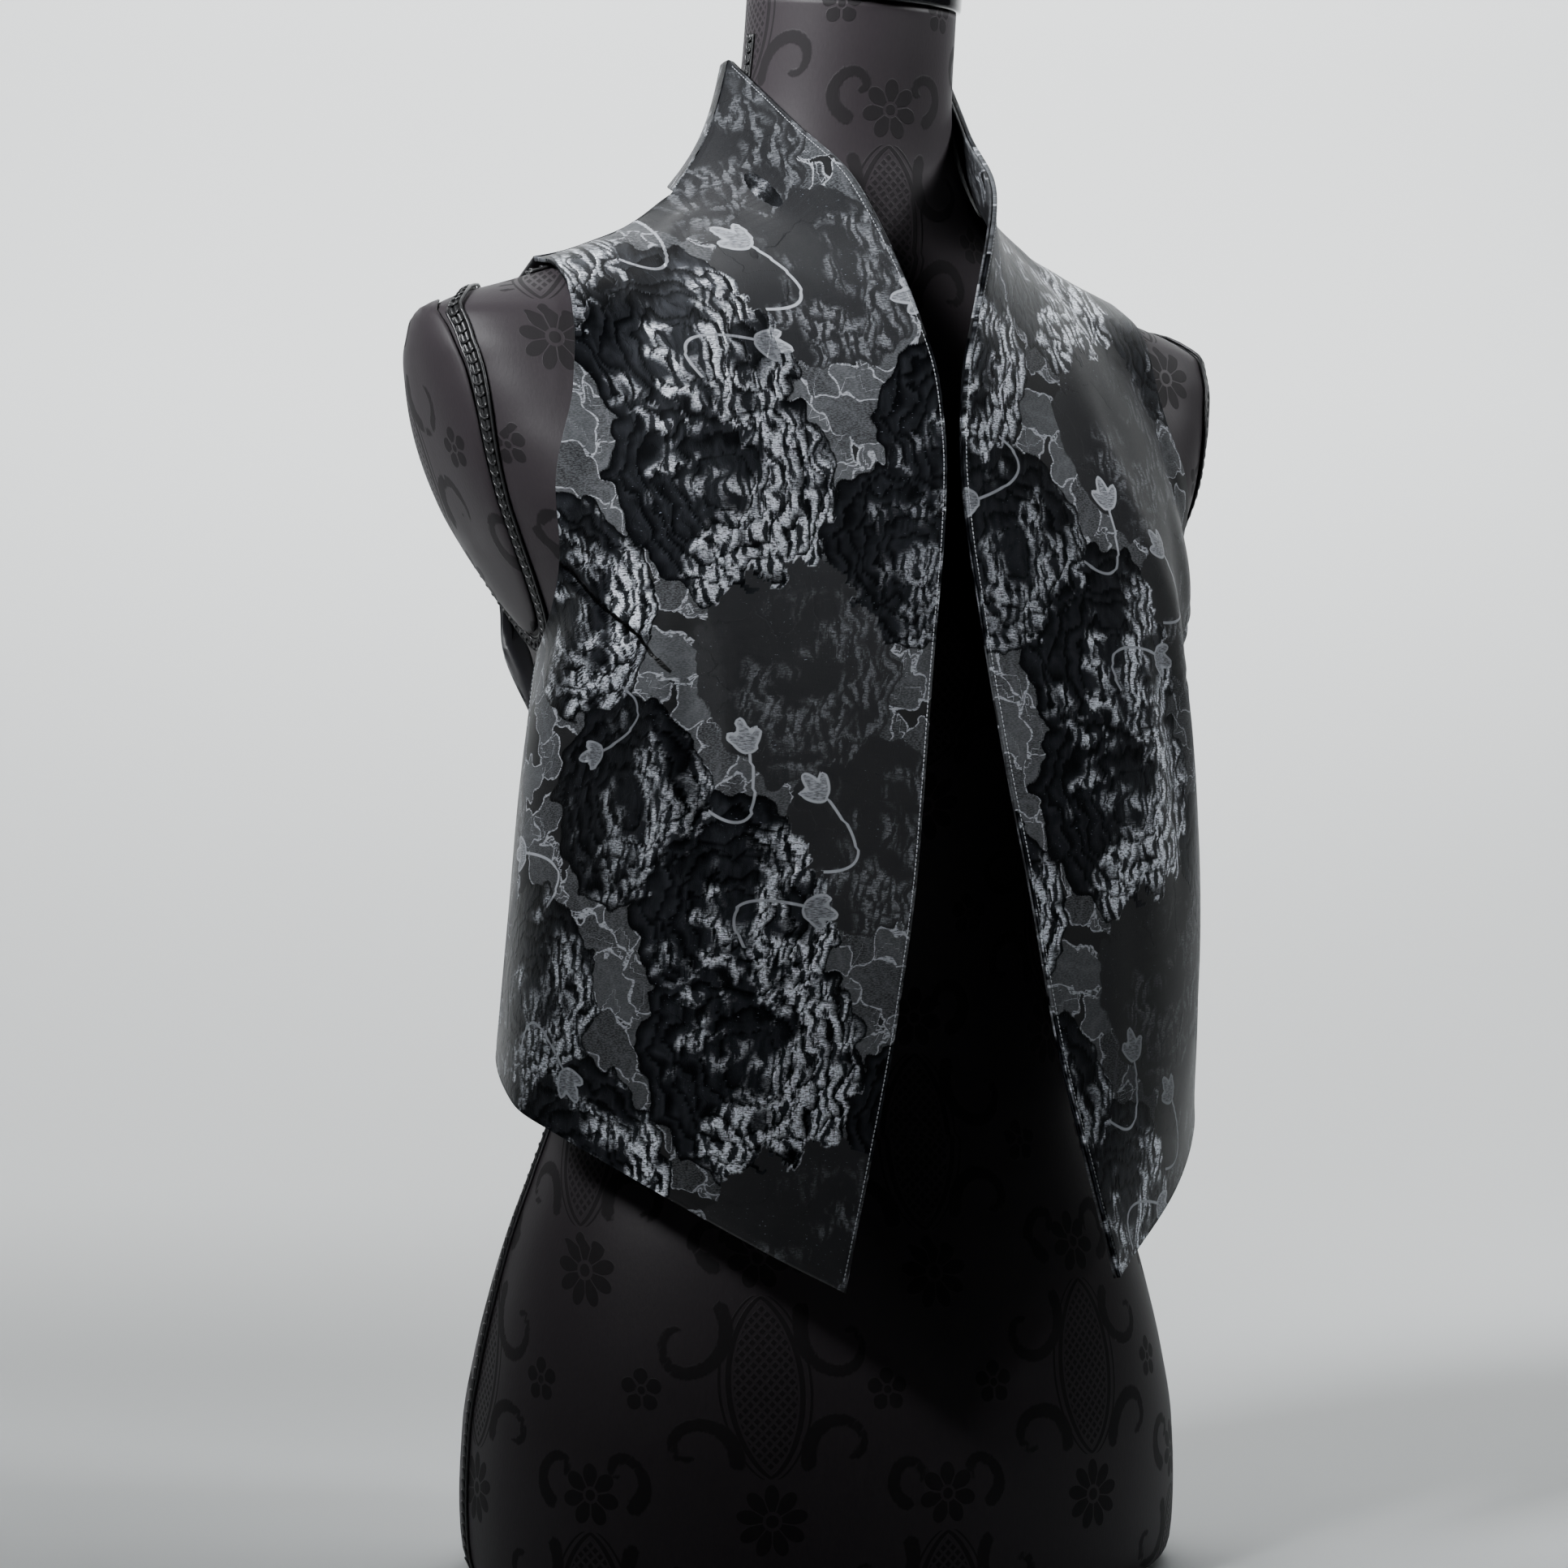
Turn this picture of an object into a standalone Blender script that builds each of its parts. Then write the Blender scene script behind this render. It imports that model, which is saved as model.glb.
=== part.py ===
"""A cropped open waistcoat with a grown-on stand collar, worn on a limbless dress form.

Front is -Y, the wearer's left is +X, up is +Z, and the form's flat underside is on z = 0.
Tables are in millimetres and give the wearer's left side (+X). The right side is its mirror image.
"""

import math

import bmesh
import bpy
import numpy as np
from mathutils import Vector
from mathutils.bvhtree import BVHTree

MM = 0.001

# Cloth
WALL = 1.8  # brocade front with its interlining
FACING_WALL = 1.0
SEAM_GAP = 0.8
FACING_GAP = 0.5
CLEAR = 1.0  # least air between the inside of the cloth and the form
SHOULDER_LIFT = 3.0  # room over the shoulders for the trim under the cloth

# Dress form trims
BRAID_WIDTH = 5.5
BRAID_RISE = 1.8
TRIM_GAP = 0.5
PLATE_RISE = 2.4
PLATE_GAP = 1.1
CAP_HEIGHT = 24.0
CAP_GAP = 0.4

# Mesh steps
FORM_AROUND = 60
FRONT_U, FRONT_V = 18, 30
BACK_U, BACK_V = 24, 20
COLLAR_U, COLLAR_V = 18, 5

# The dress form: a row for each level, as half width, depth to the front and to the back of that level's centre line,
# centre line's y, squareness of the outline, and tilt of the level (degrees, front down).
FORM_COLUMNS = ("z", "half", "front", "back", "mid", "square", "tilt")
FORM = (
    (0.0, 152.5, 112.0, 118.0, -8.0, 2.20, 0.0),
    (2.5, 157.0, 116.5, 122.0, -8.0, 2.20, 0.0),
    (7.0, 160.5, 119.5, 125.0, -8.0, 2.20, 0.0),
    (15.0, 162.3, 121.0, 127.0, -8.0, 2.20, 0.0),
    (35.0, 163.3, 121.0, 128.0, -8.0, 2.20, 0.0),
    (65.0, 162.0, 120.0, 128.0, -8.0, 2.20, 0.0),
    (95.0, 157.0, 116.0, 125.0, -8.0, 2.20, 0.0),
    (125.0, 150.0, 110.0, 117.0, -7.5, 2.20, 0.0),
    (150.0, 142.8, 104.0, 108.0, -7.0, 2.20, 0.0),
    (175.0, 133.5, 98.0, 99.0, -6.0, 2.20, 0.0),
    (205.0, 123.0, 93.0, 89.0, -4.5, 2.20, 0.0),
    (235.0, 117.5, 90.5, 84.0, -3.0, 2.20, 0.0),
    (265.0, 116.0, 91.5, 84.0, -1.5, 2.20, 0.0),
    (300.0, 118.5, 96.0, 87.0, 0.0, 2.25, 0.0),
    (335.0, 122.5, 102.0, 91.0, 0.0, 2.30, 0.0),
    (365.0, 125.5, 107.5, 94.0, 0.0, 2.40, 0.0),
    (385.0, 128.0, 109.5, 96.0, 0.0, 2.40, 0.0),
    (402.0, 131.0, 110.0, 97.0, 0.0, 2.40, 0.0),
    (416.0, 138.0, 109.5, 98.0, 0.0, 2.45, 0.0),
    (432.0, 148.5, 107.5, 98.5, 1.0, 2.50, 0.0),
    (450.0, 160.0, 104.0, 98.0, 2.0, 2.65, 0.0),
    (468.0, 170.0, 100.0, 97.0, 3.0, 2.80, 0.0),
    (486.0, 178.0, 95.5, 95.5, 4.0, 2.80, 0.0),
    (504.0, 184.0, 90.0, 92.5, 5.0, 2.75, 0.0),
    (520.0, 188.0, 84.0, 87.0, 5.0, 2.65, 0.0),
    (534.0, 190.5, 77.0, 80.0, 4.0, 2.50, 0.0),
    (545.0, 190.5, 70.5, 73.0, 2.5, 2.25, 0.0),
    (554.0, 179.0, 65.0, 66.0, 0.5, 1.95, 0.0),
    (563.0, 153.0, 60.5, 59.5, -1.5, 1.70, 0.0),
    (573.0, 124.0, 57.0, 54.5, -3.5, 1.60, 0.0),
    (583.0, 99.0, 54.5, 51.5, -5.5, 1.58, 0.5),
    (593.0, 82.0, 52.5, 50.0, -7.5, 1.65, 1.0),
    (603.0, 70.0, 51.0, 49.0, -9.5, 1.75, 2.0),
    (613.0, 60.5, 49.5, 48.5, -11.5, 1.88, 3.0),
    (624.0, 53.5, 48.0, 48.0, -13.0, 1.96, 4.2),
    (638.0, 49.5, 47.0, 47.5, -15.0, 2.0, 5.5),
    (655.0, 47.6, 46.5, 47.0, -17.5, 2.0, 7.0),
    (672.0, 46.9, 46.3, 46.6, -20.0, 2.0, 8.0),
    (692.0, 46.7, 46.2, 46.4, -22.5, 2.0, 8.5),
)
# The chest hollow in front of each arm plate.
HOLLOW = {"x": 141.0, "z": 523.0, "wide": 34.0, "up": 34.0, "down": 50.0, "sink": 14.0}
BUST = {"x": 86.0, "z": 403.0, "wide": 41.0, "up": 52.0, "down": 40.0, "rise": 31.0}

# The waistcoat's front: a row for each line that runs from the front edge over the bust to the side seam or armhole.
# t: share of the front edge's length; ex, ey, ez: the edge; rx, ry, rz: where the collar or front border rolls over;
# wx, wy: widest point; sx, sy, sz: side seam (to t = 0.40), then armhole, last the shoulder corner;
# square: outline from the roll to the widest point; lift: how early the line rises.
FRONT_COLUMNS = ("t", "ex", "ey", "ez", "rx", "ry", "rz", "wx", "wy", "sx", "sy", "sz", "square", "lift")
FRONT = (
    (0.000, 64.0, -160.0, 143.0, 85.0, -142.0, 154.8, 163.5, -50.0, 145.0, 24.0, 230.3, 1.28, 1.38),
    (0.083, 51.5, -156.0, 190.0, 80.0, -146.0, 199.0, 163.5, -48.0, 142.0, 25.0, 260.5, 1.40, 1.3),
    (0.170, 39.0, -151.5, 240.0, 76.0, -146.5, 246.0, 161.0, -44.0, 137.8, 26.0, 291.0, 1.6, 1.15),
    (0.276, 28.0, -148.0, 300.0, 71.0, -146.0, 303.0, 157.5, -39.0, 134.7, 24.0, 334.0, 1.8, 1.0),
    (0.360, 20.3, -141.0, 348.0, 67.0, -142.5, 348.5, 152.5, -36.0, 134.8, 17.0, 371.0, 1.95, 1.0),
    (0.400, 17.0, -137.7, 371.0, 65.0, -139.5, 371.0, 149.5, -36.0, 134.8, 8.5, 399.5, 2.0, 1.0),
    (0.450, 13.0, -134.0, 400.0, 62.5, -136.0, 398.0, 148.0, -40.0, 144.5, -24.0, 408.0, 2.0, 1.0),
    (0.500, 9.3, -131.5, 427.5, 60.5, -131.5, 424.0, 149.5, -50.0, 149.5, -49.0, 421.5, 2.0, 1.0),
    (0.550, 5.8, -128.8, 455.5, 59.0, -125.5, 449.0, 150.8, -60.5, 150.8, -59.5, 440.0, 1.9, 1.0),
    (0.600, 4.1, -126.4, 484.0, 58.0, -117.5, 474.5, 149.0, -57.6, 149.0, -56.6, 461.0, 1.75, 1.0),
    (0.660, 6.8, -123.2, 518.0, 58.5, -106.0, 506.0, 145.3, -53.5, 145.3, -52.5, 486.0, 1.65, 1.0),
    (0.720, 16.0, -117.3, 550.0, 61.5, -92.5, 536.5, 140.3, -47.0, 140.3, -46.0, 511.0, 1.6, 1.0),
    (0.816, 34.0, -97.5, 600.0, 67.0, -58.0, 577.0, 136.0, -33.5, 136.0, -32.5, 541.0, 1.5, 1.15),
    (0.905, 44.0, -55.0, 633.0, 72.0, -30.0, 594.0, 135.7, -19.0, 135.7, -18.0, 561.0, 1.3, 1.4),
    (1.000, 55.0, -12.5, 665.5, 79.5, -5.5, 605.0, 140.0, 1.0, 140.0, 1.5, 574.5, 1.1, 1.7),
)
SIDE_TOP = 0.400  # t where the side seam ends and the armhole starts
ROLL_U = 0.30  # share of the width that lies between the front edge and the roll

# The back: a row for each line from the centre back (y, z) past the neck or shoulder blade to the side.
BACK_COLUMNS = ("t", "cy", "cz", "nx", "ny", "nz", "sx", "sy", "sz")
BACK = (
    (0.00, 107.0, 229.0, 78.0, 96.0, 229.5, 145.0, 24.0, 230.3),
    (0.17, 107.0, 285.0, 78.0, 95.0, 285.5, 137.8, 26.0, 291.0),
    (0.31, 107.0, 340.0, 78.0, 95.0, 341.0, 134.7, 21.5, 350.0),
    (0.40, 106.5, 378.0, 79.0, 96.5, 380.0, 134.8, 8.5, 399.5),
    (0.45, 106.0, 400.0, 80.0, 97.0, 400.0, 133.0, 36.0, 388.0),
    (0.51, 105.5, 423.0, 80.0, 97.0, 422.0, 129.0, 58.0, 391.0),
    (0.58, 105.0, 450.0, 81.0, 96.5, 450.0, 126.5, 72.0, 415.0),
    (0.67, 103.0, 486.0, 81.0, 94.5, 486.0, 131.0, 80.0, 455.0),
    (0.76, 97.0, 522.0, 80.0, 86.0, 522.0, 138.0, 76.0, 497.0),
    (0.86, 80.0, 560.0, 78.5, 58.0, 562.0, 139.0, 52.0, 541.0),
    (0.93, 62.0, 586.0, 79.0, 26.0, 590.0, 139.5, 24.0, 563.0),
    (1.00, 44.0, 604.0, 79.5, -5.0, 605.0, 140.0, 2.0, 574.5),
)
BACK_COLLAR = {"top_y": 36.0, "top_z": 667.0, "foot_y": 43.5, "foot_z": 605.5}

# Largest soft folds of the front: centre (share of width u, share of height v), half sizes across and along, depth, lean.
FOLD_COLUMNS = ("u", "v", "across", "along", "deep", "lean")
FOLDS = (
    (0.66, 0.42, 0.050, 0.15, -3.6, 0.05),
    (0.80, 0.40, 0.070, 0.16, 2.4, 0.02),
    (0.52, 0.36, 0.070, 0.18, 2.2, 0.04),
    (0.13, 0.90, 0.080, 0.07, -1.6, 0.00),
    (0.50, 0.60, 0.060, 0.12, 1.4, -0.10),
)


def columns(names, rows):
    table = np.array(rows, float)
    return {name: table[:, i] for i, name in enumerate(names)}


def ease(knots, values, at):
    """Smooth curve through the table's values (cubic, with slopes that don't overshoot)."""
    knots, values, at = np.asarray(knots, float), np.asarray(values, float), np.asarray(at, float)
    step = np.diff(knots)
    slope = np.diff(values) / step
    same = slope[1:] * slope[:-1] > 0
    before, after = np.where(same, slope[:-1], 1.0), np.where(same, slope[1:], 1.0)
    inner = (step[1:] + step[:-1]) * 3 / ((2 * step[1:] + step[:-1]) / before + (step[1:] + 2 * step[:-1]) / after)
    inner = np.where(same, inner, 0.0)
    m = np.concatenate([[slope[0]], inner, [slope[-1]]])
    i = np.clip(np.searchsorted(knots, at) - 1, 0, len(step) - 1)
    h = step[i]
    s = np.clip((at - knots[i]) / h, 0, 1)
    return (
        (2 * s**3 - 3 * s**2 + 1) * values[i] + (s**3 - 2 * s**2 + s) * h * m[i]
        + (-2 * s**3 + 3 * s**2) * values[i + 1] + (s**3 - s**2) * h * m[i + 1]
    )


def bell(x):
    return np.exp(-(x**2))


# ---------- dress form ----------

FORM_TABLE = columns(FORM_COLUMNS, FORM)


def form_point(angle, z):
    """Point of the form's surface: angle 0 at the wearer's left (+X), a quarter turn at the back (+Y)."""
    row = {k: ease(FORM_TABLE["z"], FORM_TABLE[k], z) for k in FORM_COLUMNS[1:]}
    c, s = np.cos(angle), np.sin(angle)
    power = 2.0 / row["square"]
    x = row["half"] * np.sign(c) * np.abs(c) ** power
    depth = np.where(s < 0, row["front"], row["back"])
    y = depth * np.sign(s) * np.abs(s) ** power
    ahead = np.clip(-s, 0, 1) ** 1.2
    tall = np.where(z > BUST["z"], BUST["up"], BUST["down"])
    high = bell((z - BUST["z"]) / tall)
    y = y - ahead * BUST["rise"] * high * (bell((x - BUST["x"]) / BUST["wide"]) + bell((x + BUST["x"]) / BUST["wide"]))
    tall = np.where(z > HOLLOW["z"], HOLLOW["up"], HOLLOW["down"])
    y = y + ahead * HOLLOW["sink"] * bell((z - HOLLOW["z"]) / tall) * bell((np.abs(x) - HOLLOW["x"]) / HOLLOW["wide"])
    z_out = z + np.tan(np.radians(row["tilt"])) * y
    return np.stack([x, y + row["mid"], z_out], axis=-1)


def form_levels():
    """The table's levels, with one more between levels that are over 15 mm apart."""
    table = FORM_TABLE["z"]
    between = (table[:-1] + table[1:])[np.diff(table) > 15.0] / 2
    return np.sort(np.concatenate([table, between]))


def form_grid(around=FORM_AROUND, levels=None):
    levels = form_levels() if levels is None else levels
    turn = np.linspace(0, 2 * np.pi, around, endpoint=False)
    # even steps along the outline, so that the shoulder tips are as fine as the chest
    rows = []
    for z in levels:
        fine = np.linspace(0, 2 * np.pi, 721)
        ring = form_point(fine, np.full_like(fine, z))
        gone = np.concatenate([[0], np.cumsum(np.linalg.norm(np.diff(ring, axis=0), axis=1))])
        rows.append(form_point(np.interp(turn / (2 * np.pi) * gone[-1], gone, fine), np.full(around, z)))
    return np.array(rows)


def mesh_object(name, points, faces, material, smooth=True):
    mesh = bpy.data.meshes.new(name)
    mesh.from_pydata([tuple(float(c) * MM for c in p) for p in points], [], [tuple(int(i) for i in f) for f in faces])
    body = bmesh.new()
    body.from_mesh(mesh)
    bmesh.ops.recalc_face_normals(body, faces=body.faces)
    body.to_mesh(mesh)
    body.free()
    for polygon in mesh.polygons:
        polygon.use_smooth = smooth
    obj = bpy.data.objects.new(name, mesh)
    obj.data.materials.append(material)
    bpy.context.scene.collection.objects.link(obj)
    return obj


def material(name, colour, rough, metal=0.0):
    mat = bpy.data.materials.new(name)
    mat.use_nodes = True
    shader = mat.node_tree.nodes["Principled BSDF"]
    shader.inputs["Base Color"].default_value = (*colour, 1.0)
    shader.inputs["Roughness"].default_value = rough
    shader.inputs["Metallic"].default_value = metal
    return mat


def rings_to_solid(rows):
    """Closed body from rings, with a fan at each end."""
    count, around = rows.shape[:2]
    points = rows.reshape(-1, 3).tolist()
    faces = []
    for i in range(count - 1):
        for j in range(around):
            k = (j + 1) % around
            faces.append((i * around + j, i * around + k, (i + 1) * around + k, (i + 1) * around + j))
    faces.append(tuple(range(around))[::-1])
    faces.append(tuple((count - 1) * around + j for j in range(around)))
    return points, faces


def tree_of(points, faces):
    return BVHTree.FromPolygons([tuple(p) for p in points], faces, epsilon=0.0)


# ---------- cloth ----------


def even(path, count):
    """count points at even steps along each path of an array (rows, samples, 3)."""
    out = np.empty((path.shape[0], count, 3))
    for i, line in enumerate(path):
        gone = np.concatenate([[0], np.cumsum(np.linalg.norm(np.diff(line, axis=0), axis=1))])
        at = np.linspace(0, gone[-1], count)
        for c in range(3):
            out[i, :, c] = np.interp(at, gone, line[:, c])
    return out


def front_grid(nu, nv):
    """Outer face of the left front, rows from hem (0) to collar seam and shoulder (nv), columns from edge to side."""
    table = columns(FRONT_COLUMNS, FRONT)
    v = np.linspace(0, 1, nv + 1)
    row = {k: ease(table["t"], table[k], v)[:, None] for k in FRONT_COLUMNS[1:]}
    # collar or border: edge to roll, slightly hollow where it stands off the neck
    s = np.linspace(0, 1, 41)[None, :]
    stand = np.clip((v - 0.6) / 0.3, 0, 1)[:, None]
    border = np.stack([
        row["ex"] + (row["rx"] - row["ex"]) * (s - 0.16 * stand * np.sin(np.pi * s)),
        row["ey"] + (row["ry"] - row["ey"]) * s,
        row["ez"] + (row["rz"] - row["ez"]) * (s + 0.05 * stand * np.sin(np.pi * s)),
    ], axis=-1)
    # body: roll to widest point, then on to the side
    q = np.linspace(0, 0.5 * np.pi, 121)[None, :]
    power = 2.0 / row["square"]
    bx = row["rx"] + (row["wx"] - row["rx"]) * np.sin(q) ** power
    by = row["ry"] + (row["wy"] - row["ry"]) * (1 - np.abs(np.cos(q)) ** power)
    w = np.linspace(0, 1, 31)[None, 1:]
    tx = row["wx"] + (row["sx"] - row["wx"]) * w**1.8
    ty = row["wy"] + (row["sy"] - row["wy"]) * w
    x, y = np.concatenate([bx, tx], axis=1), np.concatenate([by, ty], axis=1)
    run = np.cumsum(np.hypot(np.diff(x, axis=1, prepend=x[:, :1]), np.diff(y, axis=1, prepend=y[:, :1])), axis=1)
    share = run / run[:, -1:]
    z = row["rz"] + (row["sz"] - row["rz"]) * (1 - (1 - share) ** row["lift"])
    body = np.stack([x, y, z], axis=-1)
    roll = round(ROLL_U * nu)
    grid = np.concatenate([even(border, roll + 1), even(body, nu - roll + 1)[:, 1:]], axis=1)
    # soften the roll, keeping the edge, the side and the shoulder seam
    for _ in range(3):
        soft = grid.copy()
        soft[:, 1:-1] = 0.25 * grid[:, :-2] + 0.5 * grid[:, 1:-1] + 0.25 * grid[:, 2:]
        near = bell((np.arange(nu + 1) - roll) / (0.16 * nu))[None, :, None]
        keep = np.clip((1 - v) * 14, 0, 1)[:, None, None]
        grid = grid + (soft - grid) * near * keep
    return grid


def back_grid(nu, nv):
    """Outer face of the back's left half, columns from the centre back (0) to the side (nu)."""
    table = columns(BACK_COLUMNS, BACK)
    v = np.linspace(0, 1, nv + 1)
    row = {k: ease(table["t"], table[k], v)[:, None] for k in BACK_COLUMNS[1:]}
    zero = np.zeros_like(row["cy"])
    centre = np.concatenate([zero, row["cy"], row["cz"]], axis=1)
    neck = np.concatenate([row["nx"], row["ny"], row["nz"]], axis=1)
    side = np.concatenate([row["sx"], row["sy"], row["sz"]], axis=1)
    a, b = np.linalg.norm(neck - centre, axis=1)[:, None], np.linalg.norm(side - neck, axis=1)[:, None]
    out = np.array([[1.0, 0.0, 0.0]])
    top = np.clip((v - 0.72) / 0.28, 0, 1)[:, None]
    middle = (side - centre) / np.linalg.norm(side - centre, axis=1)[:, None]
    turn = np.array([[0.45, -1.0, 0.0]]) / math.hypot(0.45, 1.0)
    ending = turn * (1 - top) + (side - neck) / b * top
    ending /= np.linalg.norm(ending, axis=1)[:, None]
    s = np.linspace(0, 1, 61)[None, :, None]

    def arc(p, q, tp, tq, size):
        p, q, tp, tq = p[:, None], q[:, None], (tp * size)[:, None], (tq * size)[:, None]
        return (2 * s**3 - 3 * s**2 + 1) * p + (s**3 - 2 * s**2 + s) * tp + (3 * s**2 - 2 * s**3) * q + (s**3 - s**2) * tq

    first = arc(centre, neck, out + zero, middle, a)
    second = arc(neck, side, middle, ending, b)
    return even(np.concatenate([first, second[:, 1:]], axis=1), nu + 1)


def relaxed(grid, times):
    """Evens out the face inside its outline, and each outline along itself."""
    for _ in range(times):
        inner = grid[1:-1, 1:-1]
        around = grid[:-2, 1:-1] + grid[2:, 1:-1] + grid[1:-1, :-2] + grid[1:-1, 2:]
        grid = grid.copy()
        grid[1:-1, 1:-1] = 0.5 * inner + 0.125 * around
    return grid


def normals_of(grid):
    du, dv = np.gradient(grid, axis=1), np.gradient(grid, axis=0)
    n = np.cross(du, dv)
    return n / np.maximum(np.linalg.norm(n, axis=2, keepdims=True), 1e-9)


def outward(grid, towards=None):
    n = normals_of(grid)
    away = grid - (np.array([0.0, -10.0, 0.0]) * np.ones_like(grid) * 1.0)
    away[..., 2] = 0
    return n if (n * away).sum() > 0 else -n


def clear_of(grid, tree, room):
    """Moves points out of the form until they are room mm off it."""
    flat, need = grid.reshape(-1, 3).copy(), np.broadcast_to(room, grid.shape[:2]).reshape(-1)
    for i, p in enumerate(flat):
        spot, normal, _, _ = tree.find_nearest(Vector(p))
        off = (Vector(p) - spot).dot(normal)
        if off < need[i]:
            flat[i] = p + np.array(normal) * (need[i] - off)
    return flat.reshape(grid.shape)


def add_folds(grid, normal, strength=1.0):
    nv, nu = grid.shape[0] - 1, grid.shape[1] - 1
    u, v = np.meshgrid(np.linspace(0, 1, nu + 1), np.linspace(0, 1, nv + 1))
    total = np.zeros_like(u)
    for fu, fv, across, along, deep, lean in FOLDS:
        total += deep * bell((u - fu - lean * (v - fv) / along) / across) * bell((v - fv) / along)
    inside = np.clip(u * 12, 0, 1) * np.clip((1 - u) * 8, 0, 1) * np.clip(v * 20, 0, 1) * np.clip((1 - v) * 12, 0, 1)
    return grid + normal * (total * strength * inside)[..., None]


def seated(tree, points, out, faces, room):
    """How far each point moves along its direction so that the faces between them clear the form by room mm."""
    lift = np.zeros(len(points))
    blends = ((1, 1, 1, 1), (1, 1, 0, 0), (0, 1, 1, 0), (0, 0, 1, 1), (1, 0, 0, 1), (1, 0, 1, 0), (1, 0, 0, 0), (0, 1, 0, 0))
    for _ in range(12):
        moved = points + out * lift[:, None]
        more = np.zeros(len(points))
        for face in faces:
            corners = [face[i % len(face)] for i in range(4)]
            for blend in blends:
                spot = sum(moved[c] * b for c, b in zip(corners, blend)) / sum(blend)
                near, normal, _, _ = tree.find_nearest(Vector(spot))
                lack = room - (Vector(spot) - near).dot(normal)
                if lack > 0:
                    for c in corners:
                        more[c] = max(more[c], lack)
        if not more.any():
            break
        lift += more * 1.05
    return lift


def wall(grid, normal, thick, lift=0.0):
    """Closed body between the outer face and the same face moved in by thick."""
    outer, inner = grid - normal * lift, grid - normal * (lift + thick)
    nv, nu = grid.shape[0], grid.shape[1]
    points = np.concatenate([outer.reshape(-1, 3), inner.reshape(-1, 3)])
    count = nv * nu
    faces = []
    for i in range(nv - 1):
        for j in range(nu - 1):
            a, b, c, d = i * nu + j, i * nu + j + 1, (i + 1) * nu + j + 1, (i + 1) * nu + j
            faces += [(a, b, c), (a, c, d), (count + c, count + b, count + a), (count + d, count + c, count + a)]
    ring = [j for j in range(nu)] + [i * nu + nu - 1 for i in range(1, nv)]
    ring += [(nv - 1) * nu + j for j in range(nu - 2, -1, -1)] + [i * nu for i in range(nv - 2, 0, -1)]
    for p, q in zip(ring, ring[1:] + ring[:1]):
        faces += [(q, p, count + p), (q, count + p, count + q)]
    return points, faces


def seated_cloth(tree, grid, normal, room=0.7):
    """Moves the face out where its inside would come nearer than room mm to the form."""
    nv, nu = grid.shape[:2]
    faces = [(i * nu + j, i * nu + j + 1, (i + 1) * nu + j + 1, (i + 1) * nu + j) for i in range(nv - 1) for j in range(nu - 1)]
    inside = (grid - normal * WALL).reshape(-1, 3)
    return grid + normal * seated(tree, inside, normal.reshape(-1, 3), faces, room).reshape(nv, nu, 1)


def mirrored(points, faces):
    points = np.array(points, float) * np.array([-1.0, 1.0, 1.0])
    return points, [tuple(f)[::-1] for f in faces]


def follow(line, target):
    """Nearest points of a polyline, with their places as fractional indices."""
    a, b = line[:-1], line[1:]
    d = b - a
    s = np.clip(((target[:, None] - a) * d).sum(-1) / np.maximum((d * d).sum(-1), 1e-9), 0, 1)
    spot = a + s[..., None] * d
    best = np.linalg.norm(target[:, None] - spot, axis=-1).argmin(axis=1)
    pick = np.arange(len(target))
    return spot[pick, best], best + s[pick, best]


def at_index(values, place):
    i = np.clip(np.floor(place).astype(int), 0, len(values) - 2)
    s = (place - i)[:, None]
    return values[i] * (1 - s) + values[i + 1] * s


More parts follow.
